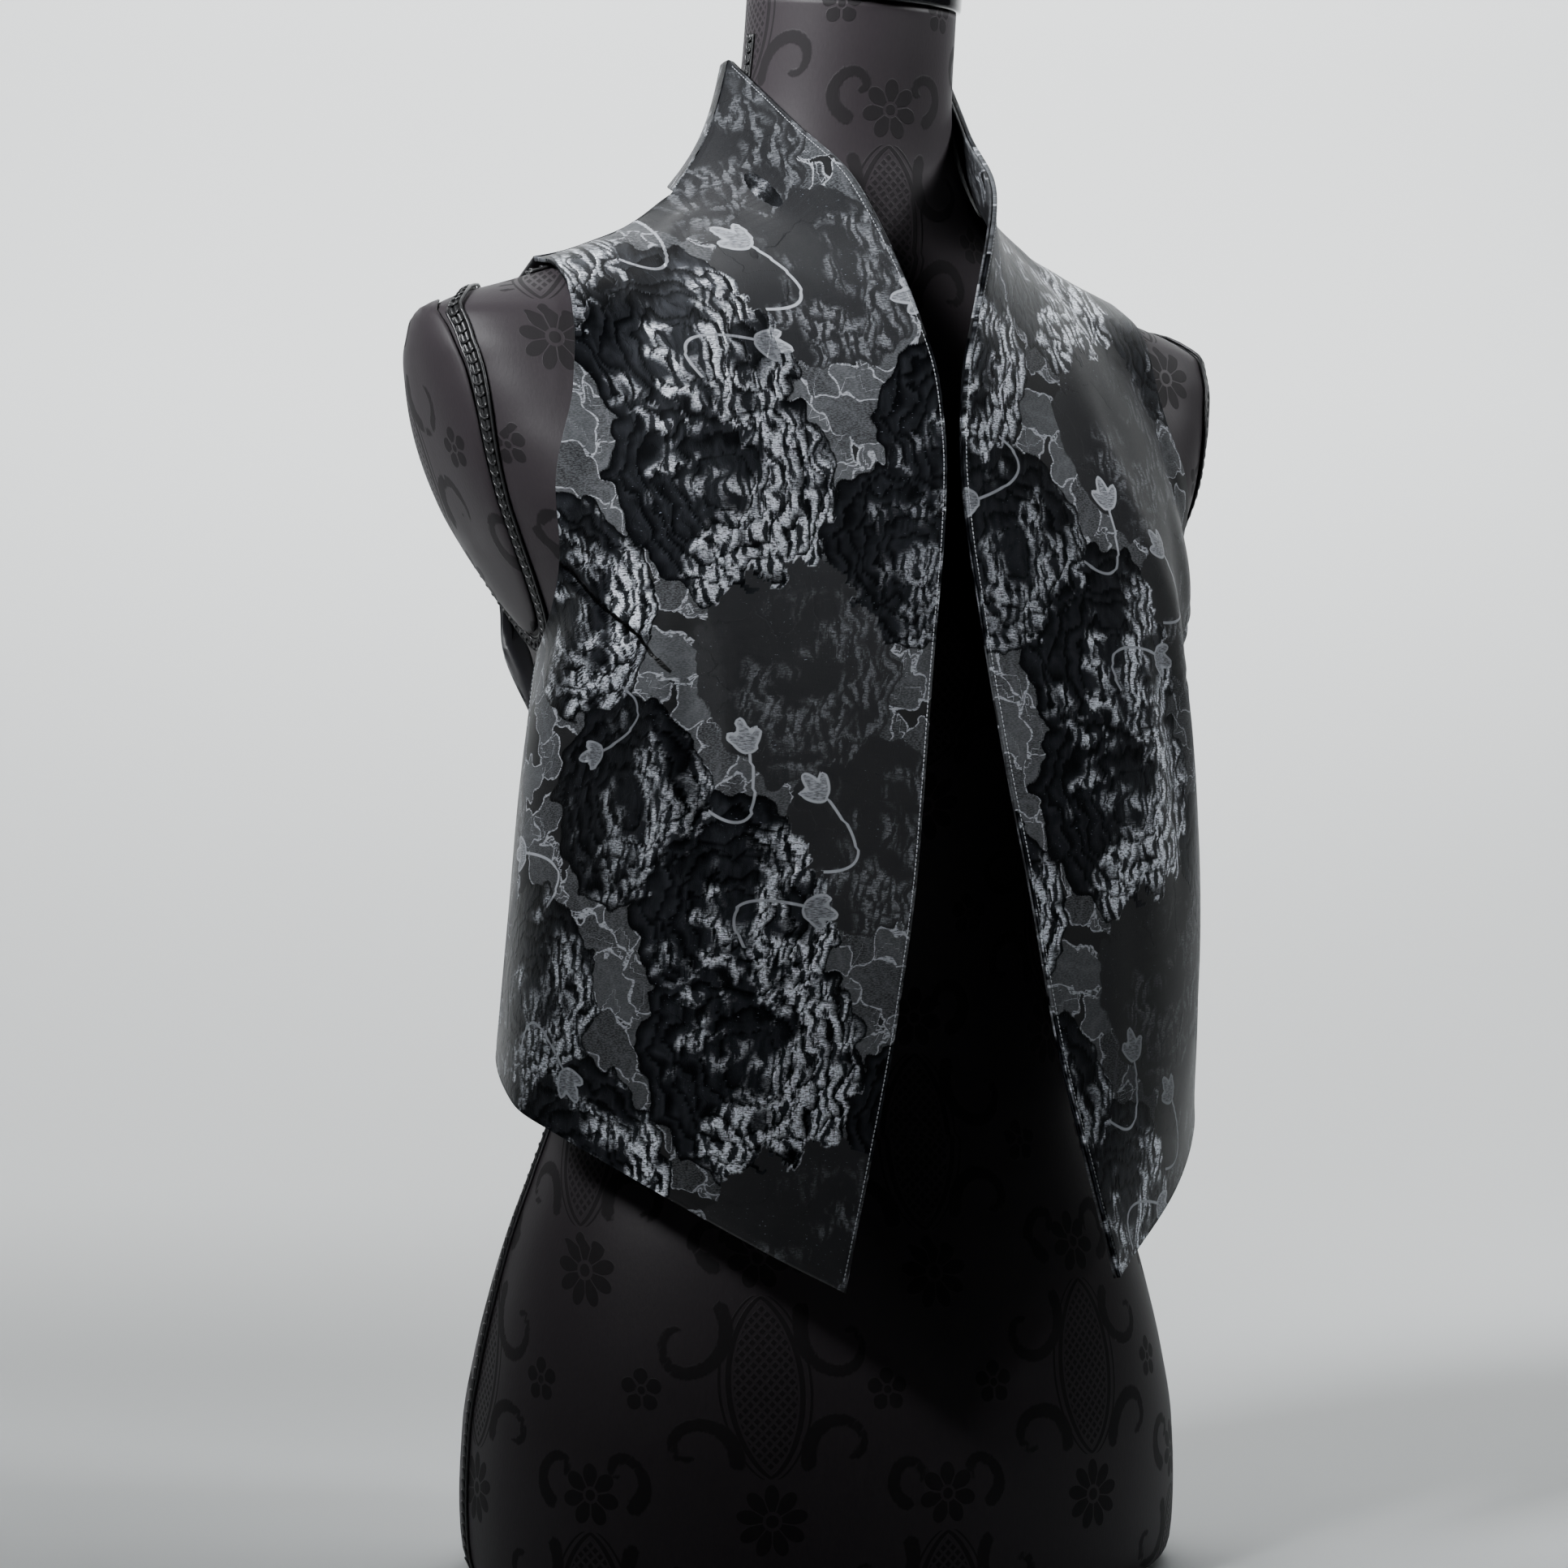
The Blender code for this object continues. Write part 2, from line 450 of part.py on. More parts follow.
def cloth_faces(tree, nu, nv, back_u, back_v, collar_u, collar_v):
    """Outer faces and normals of the front, the half back and the half back collar, clear of the form."""
    front = relaxed(front_grid(nu, nv), round(6 * (nu / FRONT_U) ** 2))
    v = np.linspace(0, 1, nv + 1)[:, None]
    u = np.linspace(0, 1, nu + 1)[None, :]
    room = WALL + CLEAR + SHOULDER_LIFT * np.clip((v - 0.8) / 0.2, 0, 1) * np.clip((u - 0.2) * 8, 0, 1)
    front = clear_of(front, tree, room)
    front = clear_of(front, tree, room)
    front = add_folds(front, outward(front))
    front = clear_of(front, tree, room)
    n_front = outward(front)
    front = seated_cloth(tree, front, n_front)
    roll = round(ROLL_U * nu)
    # the shoulder seam's normals lean neither way, so that the two walls meet edge to edge
    seam = n_front[-1].copy()
    seam[roll:, 1] *= 0.15
    n_front[-1] = seam / np.linalg.norm(seam, axis=1, keepdims=True)

    back = relaxed(back_grid(back_u, back_v), 3)
    t = np.linspace(0, 1, back_v + 1)[:, None]
    room = WALL + CLEAR + SHOULDER_LIFT * np.clip((t - 0.8) / 0.2, 0, 1) * np.ones((1, back_u + 1))
    back = clear_of(back, tree, room)
    back = clear_of(back, tree, room)
    n_back = outward(back)
    step = np.array([0.0, SEAM_GAP, 0.0])
    seam_rows = np.flatnonzero(back[:, -1, 2] <= front[np.argmin(np.abs(v[:, 0] - SIDE_TOP)), -1, 2] + 1.0)
    side_line, side_normal = front[: round(SIDE_TOP * nv) + 1, -1], n_front[: round(SIDE_TOP * nv) + 1, -1]
    spot, place = follow(side_line, back[seam_rows, -1])
    move = np.zeros_like(back)
    gone = np.arange(back_u, -1, -1) / back_u
    move[seam_rows] = (spot + step - back[seam_rows, -1])[:, None] * bell(gone * 6)[None, :, None]
    back = back + move
    n_back[seam_rows, -1] = at_index(side_normal, place)
    # shoulder
    neck = round(0.5 * back_u)
    top_line, top_normal = front[-1, roll:], n_front[-1, roll:]
    far = np.linalg.norm(back[-1] - top_line[0], axis=1)
    neck = int(np.argmin(far))
    target = even(top_line[None], back_u - neck + 1)[0]
    _, place = follow(top_line, target)
    fade = bell(np.arange(back_v, -1, -1) / back_v * 6)[:, None, None]
    shift = np.zeros((back_u + 1, 3))
    shift[neck:] = target + step - back[-1, neck:]
    shift[:neck] = shift[neck] * bell((neck - np.arange(neck)) / max(neck, 1) * 2)[:, None]
    back = back + fade * shift[None]
    n_back = np.where(np.isin(np.arange(back_v + 1), seam_rows)[:, None, None] & (np.arange(back_u + 1) == back_u)[None, :, None], n_back, outward(back))
    n_back[-1, neck:] = at_index(top_normal, place)
    n_back[:, 0, 0] = 0
    n_back /= np.linalg.norm(n_back, axis=2, keepdims=True)
    back = seated_cloth(tree, back, n_back)

    # back collar: from the front's collar seam (roll to edge of its last row) round to the centre back
    post = front[-1, : roll + 1][::-1]  # neck point up to the peak
    n_post = n_front[-1, : roll + 1][::-1]
    post_at = np.linspace(0.045 * roll, roll, collar_v + 1)
    post, n_post = at_index(post, post_at), at_index(n_post, post_at)
    start = post + step + np.array([0, 0, 0.0])
    foot = np.array([0.0, BACK_COLLAR["foot_y"], BACK_COLLAR["foot_z"]])
    head = np.array([0.0, BACK_COLLAR["top_y"], BACK_COLLAR["top_z"]])
    share = np.linspace(0, 1, collar_v + 1)[:, None]
    middle = foot + (head - foot) * share
    s = np.linspace(0, 0.5 * np.pi, 61)
    x = start[:, 0][:, None] * np.cos(s)[None]
    y = start[:, 1][:, None] + (middle[:, 1] - start[:, 1])[:, None] * np.sin(s)[None]
    z = start[:, 2][:, None] + (middle[:, 2] - start[:, 2])[:, None] * (np.sin(s) ** 2)[None]
    collar = even(np.stack([x, y, z], axis=-1), collar_u + 1)[:, ::-1]
    n_collar = outward(collar)
    n_collar[:, -1] = n_post / np.linalg.norm(n_post, axis=1, keepdims=True)
    n_collar[:, 0, 0] = 0
    n_collar /= np.linalg.norm(n_collar, axis=2, keepdims=True)
    # its foot stands just above the back's neckline
    line, _ = follow(back[-1, : neck + 1], collar[0])
    drop = (line[:, 2] + 2.2 - collar[0, :, 2])[None] * (1 - share) ** 2
    collar[..., 2] += drop
    return {"front": (front, n_front), "back": (back, n_back), "collar": (collar, n_collar), "roll": roll, "neck": neck}


def whole(half, normal):
    """Joins a half face, whose column 0 is on x = 0, with its mirror image."""
    flip = np.array([-1.0, 1.0, 1.0])
    return np.concatenate([(half * flip)[:, :0:-1], half], axis=1), np.concatenate([(normal * flip)[:, :0:-1], normal], axis=1)


# ---------- trims ----------


def strip(tree, name, path, out, width, rise, gap, mat, shut=False):
    """Flat rounded cord laid along a path of points on the form, with outward directions."""
    path, out = np.array(path, float), np.array(out, float)
    if shut:
        along = np.roll(path, -1, axis=0) - np.roll(path, 1, axis=0)
    else:
        along = np.gradient(path, axis=0)
    along /= np.linalg.norm(along, axis=1, keepdims=True)
    out = out - (out * along).sum(1, keepdims=True) * along
    out /= np.linalg.norm(out, axis=1, keepdims=True)
    across = np.cross(along, out)
    count = len(path)
    sole = np.concatenate([path - across * 0.5 * width, path + across * 0.5 * width])
    links = [(i, (i + 1) % count, (i + 1) % count + count, i + count) for i in range(count if shut else count - 1)]
    lift = seated(tree, sole, np.concatenate([out, out]), links, gap).reshape(2, count).max(axis=0)[:, None]
    shape = ((-0.5, 0.0), (-0.42, 0.75), (-0.2, 1.0), (0.2, 1.0), (0.42, 0.75), (0.5, 0.0))
    points = np.concatenate([
        (path + across * (a * width) + out * (lift + b * rise))[:, None] for a, b in shape
    ], axis=1)
    n, k = points.shape[:2]
    faces = []
    for i in range(n if shut else n - 1):
        j = (i + 1) % n
        for m in range(k):
            o = (m + 1) % k
            faces.append((i * k + m, i * k + o, j * k + o, j * k + m))
    if not shut:
        faces += [tuple(range(k))[::-1], tuple((n - 1) * k + m for m in range(k))]
    return mesh_object(name, points.reshape(-1, 3), faces, mat)


def on_form(tree, spots):
    points, normals = [], []
    for p in spots:
        spot, normal, _, _ = tree.find_nearest(Vector(p))
        points.append(np.array(spot))
        normals.append(np.array(normal))
    return np.array(points), np.array(normals)


# Arm plate: an oval on the form's side, in a plane that leans in at its foot.
PLATE = {"y": 8.0, "z": 482.5, "half_y": 40.5, "half_z": 70.5, "taper": 0.16}


def plate_ring(scale, count):
    turn = np.linspace(0, 2 * np.pi, count, endpoint=False)
    high = PLATE["half_z"] * scale * np.sin(turn)
    narrow = 1 + PLATE["taper"] * high / PLATE["half_z"]
    return np.stack([np.full(count, 260.0), PLATE["y"] + PLATE["half_y"] * scale * np.cos(turn) * narrow, PLATE["z"] + high], axis=1)


def cast(tree, spots, direction=(-1.0, 0.0, 0.0)):
    points, normals = [], []
    for p in spots:
        spot, normal, _, _ = tree.ray_cast(Vector(p), Vector(direction))
        points.append(np.array(spot))
        normals.append(np.array(normal))
    return np.array(points), np.array(normals)


def side_path(tree, low, high, count, y_at):
    z = np.linspace(low, high, count)
    return cast(tree, [(260.0, y_at(h), h) for h in z])


def build():
    for obj in list(bpy.data.objects):
        bpy.data.objects.remove(obj, do_unlink=True)

    damask = material("form_damask", (0.030, 0.025, 0.028), 0.55)
    gloss = material("cap_gloss", (0.006, 0.006, 0.007), 0.12)
    trim = material("gimp_braid", (0.008, 0.008, 0.009), 0.6)
    brocade = material("brocade", (0.030, 0.031, 0.034), 0.42, 0.35)
    satin = material("back_satin", (0.012, 0.012, 0.014), 0.38)
    lining = material("facing_brocade", (0.028, 0.029, 0.032), 0.45, 0.3)

    rows = form_grid()
    points, faces = rings_to_solid(rows)
    tree = tree_of(points, faces)
    mesh_object("form_torso", points, faces, damask)

    # neck cap: a low turned cap on the tilted neck top
    ring = rows[-1]
    middle, up = ring.mean(axis=0), np.cross(ring[15] - ring[0], ring[30] - ring[0])
    up = up / np.linalg.norm(up) * (1 if up[2] > 0 else -1)
    cap = []
    for high, wide in ((CAP_GAP, 0.985), (CAP_GAP, 1.035), (4.0, 1.045), (CAP_HEIGHT - 5, 1.045), (CAP_HEIGHT - 1.5, 1.02), (CAP_HEIGHT, 0.97), (CAP_HEIGHT + 1.5, 0.6)):
        cap.append(middle + (ring - middle) * wide + up * high)
    cap_points, cap_faces = rings_to_solid(np.array(cap))
    mesh_object("neck_cap", cap_points, cap_faces, gloss)

    # arm plates: rings on the form's side, moved out
    scales, count = (0.0, 0.22, 0.44, 0.64, 0.82, 0.94, 1.0), 36
    top, low, rises = [], [], []
    for k, scale in enumerate(scales):
        spots, out = cast(tree, plate_ring(max(scale, 0.001), count if k else 1))
        smooth_out = out + np.array([1.5, 0, 0])
        smooth_out /= np.linalg.norm(smooth_out, axis=1, keepdims=True)
        rise = PLATE_RISE * (1.0 - 0.35 * scale**4)
        low.append(spots)
        top.append(smooth_out)
        rises += [rise] * len(spots)
    low, smooth_out, rises = np.concatenate(low), np.concatenate(top), np.array(rises)[:, None]
    half = 1 + count * (len(scales) - 1)
    plate_faces = []
    for base, flip in ((0, 1), (half, -1)):
        for j in range(count):
            m = (j + 1) % count
            plate_faces.append((base, base + 1 + j, base + 1 + m)[::flip])
            for k in range(len(scales) - 2):
                a = base + 1 + k * count
                plate_faces.append((a + j, a + count + j, a + count + m, a + m)[::flip])
    low = low + smooth_out * seated(tree, low, smooth_out, [f for f in plate_faces if max(f) < half], PLATE_GAP)[:, None]
    plate_points = np.concatenate([low + smooth_out * rises, low])
    last = 1 + count * (len(scales) - 2)
    for j in range(count):
        m = (j + 1) % count
        plate_faces.append((last + j, half + last + j, half + last + m, last + m))
    for side, sign in (("L", 1), ("R", -1)):
        p, f = (plate_points, plate_faces) if sign > 0 else mirrored(plate_points, plate_faces)
        mesh_object(f"arm_plate_{side}", p, f, damask)

    # braids
    flip = np.array([-1.0, 1.0, 1.0])
    ring_spots, ring_out = cast(tree, plate_ring(1.0 + (0.5 * BRAID_WIDTH + 0.6) / 45.0, 40))
    ring_out = ring_out + np.array([0.6, 0, 0])
    neck_z = np.concatenate([np.linspace(676.0, 616.0, 9), np.linspace(609.0, 566.0, 12)])
    shoulder = []
    for z in neck_z:
        shoulder.append(form_point(np.array([0.02]), np.array([z]))[0])
    shoulder = [p for p in shoulder if p[0] < 163.0]
    over, over_out = on_form(tree, shoulder)
    down, down_out = side_path(tree, 4.0, PLATE["z"] - PLATE["half_z"] * 1.14 - 4.0, 34, lambda h: 8.0 + 4.0 * math.sin(math.pi * min(h, 400) / 400.0))
    for side, sign in (("L", np.ones(3)), ("R", flip)):
        turn = 1 if side == "L" else -1
        strip(tree, f"braid_plate_{side}", (ring_spots * sign)[::turn], (ring_out * sign)[::turn], BRAID_WIDTH, BRAID_RISE, TRIM_GAP, trim, shut=True)
        strip(tree, f"braid_shoulder_{side}", over * sign, over_out * sign, BRAID_WIDTH, BRAID_RISE, TRIM_GAP, trim)
        strip(tree, f"braid_side_{side}", down * sign, down_out * sign, BRAID_WIDTH, BRAID_RISE, TRIM_GAP, trim)

    # waistcoat
    cloth = cloth_faces(tree, FRONT_U, FRONT_V, BACK_U // 2, BACK_V, COLLAR_U // 2, COLLAR_V)
    front, n_front = cloth["front"]
    p, f = wall(front, n_front, WALL)
    mesh_object("front_L", p, f, brocade)
    mesh_object("front_R", *mirrored(p, f), brocade)
    edge = cloth["roll"] + 1
    face_n = n_front[:, :edge]
    facing = front[:, :edge].copy()
    p, f = wall(facing, face_n, FACING_WALL, WALL + FACING_GAP)
    mesh_object("facing_L", p, f, lining)
    mesh_object("facing_R", *mirrored(p, f), lining)
    p, f = wall(*whole(*cloth["back"]), WALL)
    mesh_object("back", p, f, satin)
    p, f = wall(*whole(*cloth["collar"]), WALL)
    mesh_object("back_collar", p, f, brocade)


build()
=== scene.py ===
"""Looks of the waistcoat on its dress form: cloth shells with a woven floral brocade, seams and stitches, and the form's damask, braid and cap."""

import math

import bpy
import numpy as np
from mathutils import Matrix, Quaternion, Vector
from mathutils.bvhtree import BVHTree


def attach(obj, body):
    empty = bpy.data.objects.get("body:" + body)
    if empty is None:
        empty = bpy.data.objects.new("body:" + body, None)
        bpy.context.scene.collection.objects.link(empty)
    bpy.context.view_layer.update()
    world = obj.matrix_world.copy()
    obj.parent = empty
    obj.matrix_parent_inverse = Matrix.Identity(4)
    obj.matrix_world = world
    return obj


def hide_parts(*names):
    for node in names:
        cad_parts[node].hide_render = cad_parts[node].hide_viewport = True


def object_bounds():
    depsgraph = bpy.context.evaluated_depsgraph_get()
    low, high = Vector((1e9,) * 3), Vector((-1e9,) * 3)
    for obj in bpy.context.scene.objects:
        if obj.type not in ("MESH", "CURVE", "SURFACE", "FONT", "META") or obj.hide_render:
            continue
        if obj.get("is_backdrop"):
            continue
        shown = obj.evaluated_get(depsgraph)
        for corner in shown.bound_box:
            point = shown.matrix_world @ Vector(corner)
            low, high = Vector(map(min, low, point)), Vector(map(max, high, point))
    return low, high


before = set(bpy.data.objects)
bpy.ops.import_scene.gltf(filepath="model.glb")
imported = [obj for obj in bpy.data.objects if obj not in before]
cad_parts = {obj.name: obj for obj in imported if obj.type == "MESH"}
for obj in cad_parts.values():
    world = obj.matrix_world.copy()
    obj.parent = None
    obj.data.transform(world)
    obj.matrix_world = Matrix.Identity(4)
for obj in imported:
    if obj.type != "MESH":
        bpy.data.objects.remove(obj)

CAD_LOW, CAD_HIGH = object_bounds()
CAD_BOX = [[float(c) for c in CAD_LOW], [float(c) for c in CAD_HIGH]]

# ---------- the solids' own tables and functions, in millimetres ----------


MM = 0.001

# Cloth
WALL = 1.8  # brocade front with its interlining
FACING_WALL = 1.0
SEAM_GAP = 0.8
FACING_GAP = 0.5
CLEAR = 1.0  # least air between the inside of the cloth and the form
SHOULDER_LIFT = 3.0  # room over the shoulders for the trim under the cloth

# Dress form trims
BRAID_WIDTH = 5.5
BRAID_RISE = 1.8
TRIM_GAP = 0.5
PLATE_RISE = 2.4
PLATE_GAP = 1.1
CAP_HEIGHT = 24.0
CAP_GAP = 0.4

# Mesh steps
FORM_AROUND = 60
FRONT_U, FRONT_V = 18, 30
BACK_U, BACK_V = 24, 20
COLLAR_U, COLLAR_V = 18, 5

# The dress form: a row for each level, as half width, depth to the front and to the back of that level's centre line,
# centre line's y, squareness of the outline, and tilt of the level (degrees, front down).
FORM_COLUMNS = ("z", "half", "front", "back", "mid", "square", "tilt")
FORM = (
    (0.0, 152.5, 112.0, 118.0, -8.0, 2.20, 0.0),
    (2.5, 157.0, 116.5, 122.0, -8.0, 2.20, 0.0),
    (7.0, 160.5, 119.5, 125.0, -8.0, 2.20, 0.0),
    (15.0, 162.3, 121.0, 127.0, -8.0, 2.20, 0.0),
    (35.0, 163.3, 121.0, 128.0, -8.0, 2.20, 0.0),
    (65.0, 162.0, 120.0, 128.0, -8.0, 2.20, 0.0),
    (95.0, 157.0, 116.0, 125.0, -8.0, 2.20, 0.0),
    (125.0, 150.0, 110.0, 117.0, -7.5, 2.20, 0.0),
    (150.0, 142.8, 104.0, 108.0, -7.0, 2.20, 0.0),
    (175.0, 133.5, 98.0, 99.0, -6.0, 2.20, 0.0),
    (205.0, 123.0, 93.0, 89.0, -4.5, 2.20, 0.0),
    (235.0, 117.5, 90.5, 84.0, -3.0, 2.20, 0.0),
    (265.0, 116.0, 91.5, 84.0, -1.5, 2.20, 0.0),
    (300.0, 118.5, 96.0, 87.0, 0.0, 2.25, 0.0),
    (335.0, 122.5, 102.0, 91.0, 0.0, 2.30, 0.0),
    (365.0, 125.5, 107.5, 94.0, 0.0, 2.40, 0.0),
    (385.0, 128.0, 109.5, 96.0, 0.0, 2.40, 0.0),
    (402.0, 131.0, 110.0, 97.0, 0.0, 2.40, 0.0),
    (416.0, 138.0, 109.5, 98.0, 0.0, 2.45, 0.0),
    (432.0, 148.5, 107.5, 98.5, 1.0, 2.50, 0.0),
    (450.0, 160.0, 104.0, 98.0, 2.0, 2.65, 0.0),
    (468.0, 170.0, 100.0, 97.0, 3.0, 2.80, 0.0),
    (486.0, 178.0, 95.5, 95.5, 4.0, 2.80, 0.0),
    (504.0, 184.0, 90.0, 92.5, 5.0, 2.75, 0.0),
    (520.0, 188.0, 84.0, 87.0, 5.0, 2.65, 0.0),
    (534.0, 190.5, 77.0, 80.0, 4.0, 2.50, 0.0),
    (545.0, 190.5, 70.5, 73.0, 2.5, 2.25, 0.0),
    (554.0, 179.0, 65.0, 66.0, 0.5, 1.95, 0.0),
    (563.0, 153.0, 60.5, 59.5, -1.5, 1.70, 0.0),
    (573.0, 124.0, 57.0, 54.5, -3.5, 1.60, 0.0),
    (583.0, 99.0, 54.5, 51.5, -5.5, 1.58, 0.5),
    (593.0, 82.0, 52.5, 50.0, -7.5, 1.65, 1.0),
    (603.0, 70.0, 51.0, 49.0, -9.5, 1.75, 2.0),
    (613.0, 60.5, 49.5, 48.5, -11.5, 1.88, 3.0),
    (624.0, 53.5, 48.0, 48.0, -13.0, 1.96, 4.2),
    (638.0, 49.5, 47.0, 47.5, -15.0, 2.0, 5.5),
    (655.0, 47.6, 46.5, 47.0, -17.5, 2.0, 7.0),
    (672.0, 46.9, 46.3, 46.6, -20.0, 2.0, 8.0),
    (692.0, 46.7, 46.2, 46.4, -22.5, 2.0, 8.5),
)
# The chest hollow in front of each arm plate.
HOLLOW = {"x": 141.0, "z": 523.0, "wide": 34.0, "up": 34.0, "down": 50.0, "sink": 14.0}
BUST = {"x": 86.0, "z": 403.0, "wide": 41.0, "up": 52.0, "down": 40.0, "rise": 31.0}

# The waistcoat's front: a row for each line that runs from the front edge over the bust to the side seam or armhole.
# t: share of the front edge's length; ex, ey, ez: the edge; rx, ry, rz: where the collar or front border rolls over;
# wx, wy: widest point; sx, sy, sz: side seam (to t = 0.40), then armhole, last the shoulder corner;
# square: outline from the roll to the widest point; lift: how early the line rises.
FRONT_COLUMNS = ("t", "ex", "ey", "ez", "rx", "ry", "rz", "wx", "wy", "sx", "sy", "sz", "square", "lift")
FRONT = (
    (0.000, 64.0, -160.0, 143.0, 85.0, -142.0, 154.8, 163.5, -50.0, 145.0, 24.0, 230.3, 1.28, 1.38),
    (0.083, 51.5, -156.0, 190.0, 80.0, -146.0, 199.0, 163.5, -48.0, 142.0, 25.0, 260.5, 1.40, 1.3),
    (0.170, 39.0, -151.5, 240.0, 76.0, -146.5, 246.0, 161.0, -44.0, 137.8, 26.0, 291.0, 1.6, 1.15),
    (0.276, 28.0, -148.0, 300.0, 71.0, -146.0, 303.0, 157.5, -39.0, 134.7, 24.0, 334.0, 1.8, 1.0),
    (0.360, 20.3, -141.0, 348.0, 67.0, -142.5, 348.5, 152.5, -36.0, 134.8, 17.0, 371.0, 1.95, 1.0),
    (0.400, 17.0, -137.7, 371.0, 65.0, -139.5, 371.0, 149.5, -36.0, 134.8, 8.5, 399.5, 2.0, 1.0),
    (0.450, 13.0, -134.0, 400.0, 62.5, -136.0, 398.0, 148.0, -40.0, 144.5, -24.0, 408.0, 2.0, 1.0),
    (0.500, 9.3, -131.5, 427.5, 60.5, -131.5, 424.0, 149.5, -50.0, 149.5, -49.0, 421.5, 2.0, 1.0),
    (0.550, 5.8, -128.8, 455.5, 59.0, -125.5, 449.0, 150.8, -60.5, 150.8, -59.5, 440.0, 1.9, 1.0),
    (0.600, 4.1, -126.4, 484.0, 58.0, -117.5, 474.5, 149.0, -57.6, 149.0, -56.6, 461.0, 1.75, 1.0),
    (0.660, 6.8, -123.2, 518.0, 58.5, -106.0, 506.0, 145.3, -53.5, 145.3, -52.5, 486.0, 1.65, 1.0),
    (0.720, 16.0, -117.3, 550.0, 61.5, -92.5, 536.5, 140.3, -47.0, 140.3, -46.0, 511.0, 1.6, 1.0),
    (0.816, 34.0, -97.5, 600.0, 67.0, -58.0, 577.0, 136.0, -33.5, 136.0, -32.5, 541.0, 1.5, 1.15),
    (0.905, 44.0, -55.0, 633.0, 72.0, -30.0, 594.0, 135.7, -19.0, 135.7, -18.0, 561.0, 1.3, 1.4),
    (1.000, 55.0, -12.5, 665.5, 79.5, -5.5, 605.0, 140.0, 1.0, 140.0, 1.5, 574.5, 1.1, 1.7),
)
SIDE_TOP = 0.400  # t where the side seam ends and the armhole starts
ROLL_U = 0.30  # share of the width that lies between the front edge and the roll

# The back: a row for each line from the centre back (y, z) past the neck or shoulder blade to the side.
BACK_COLUMNS = ("t", "cy", "cz", "nx", "ny", "nz", "sx", "sy", "sz")
BACK = (
    (0.00, 107.0, 229.0, 78.0, 96.0, 229.5, 145.0, 24.0, 230.3),
    (0.17, 107.0, 285.0, 78.0, 95.0, 285.5, 137.8, 26.0, 291.0),
    (0.31, 107.0, 340.0, 78.0, 95.0, 341.0, 134.7, 21.5, 350.0),
    (0.40, 106.5, 378.0, 79.0, 96.5, 380.0, 134.8, 8.5, 399.5),
    (0.45, 106.0, 400.0, 80.0, 97.0, 400.0, 133.0, 36.0, 388.0),
    (0.51, 105.5, 423.0, 80.0, 97.0, 422.0, 129.0, 58.0, 391.0),
    (0.58, 105.0, 450.0, 81.0, 96.5, 450.0, 126.5, 72.0, 415.0),
    (0.67, 103.0, 486.0, 81.0, 94.5, 486.0, 131.0, 80.0, 455.0),
    (0.76, 97.0, 522.0, 80.0, 86.0, 522.0, 138.0, 76.0, 497.0),
    (0.86, 80.0, 560.0, 78.5, 58.0, 562.0, 139.0, 52.0, 541.0),
    (0.93, 62.0, 586.0, 79.0, 26.0, 590.0, 139.5, 24.0, 563.0),
    (1.00, 44.0, 604.0, 79.5, -5.0, 605.0, 140.0, 2.0, 574.5),
)
BACK_COLLAR = {"top_y": 36.0, "top_z": 667.0, "foot_y": 43.5, "foot_z": 605.5}

# Largest soft folds of the front: centre (share of width u, share of height v), half sizes across and along, depth, lean.
FOLD_COLUMNS = ("u", "v", "across", "along", "deep", "lean")
FOLDS = (
    (0.66, 0.42, 0.050, 0.15, -3.6, 0.05),
    (0.80, 0.40, 0.070, 0.16, 2.4, 0.02),
    (0.52, 0.36, 0.070, 0.18, 2.2, 0.04),
    (0.13, 0.90, 0.080, 0.07, -1.6, 0.00),
    (0.50, 0.60, 0.060, 0.12, 1.4, -0.10),
)


def columns(names, rows):
    table = np.array(rows, float)
    return {name: table[:, i] for i, name in enumerate(names)}


def ease(knots, values, at):
    """Smooth curve through the table's values (cubic, with slopes that don't overshoot)."""
    knots, values, at = np.asarray(knots, float), np.asarray(values, float), np.asarray(at, float)
    step = np.diff(knots)
    slope = np.diff(values) / step
    same = slope[1:] * slope[:-1] > 0
    before, after = np.where(same, slope[:-1], 1.0), np.where(same, slope[1:], 1.0)
    inner = (step[1:] + step[:-1]) * 3 / ((2 * step[1:] + step[:-1]) / before + (step[1:] + 2 * step[:-1]) / after)
    inner = np.where(same, inner, 0.0)
    m = np.concatenate([[slope[0]], inner, [slope[-1]]])
    i = np.clip(np.searchsorted(knots, at) - 1, 0, len(step) - 1)
    h = step[i]
    s = np.clip((at - knots[i]) / h, 0, 1)
    return (
        (2 * s**3 - 3 * s**2 + 1) * values[i] + (s**3 - 2 * s**2 + s) * h * m[i]
        + (-2 * s**3 + 3 * s**2) * values[i + 1] + (s**3 - s**2) * h * m[i + 1]
    )


def bell(x):
    return np.exp(-(x**2))


# ---------- dress form ----------

FORM_TABLE = columns(FORM_COLUMNS, FORM)


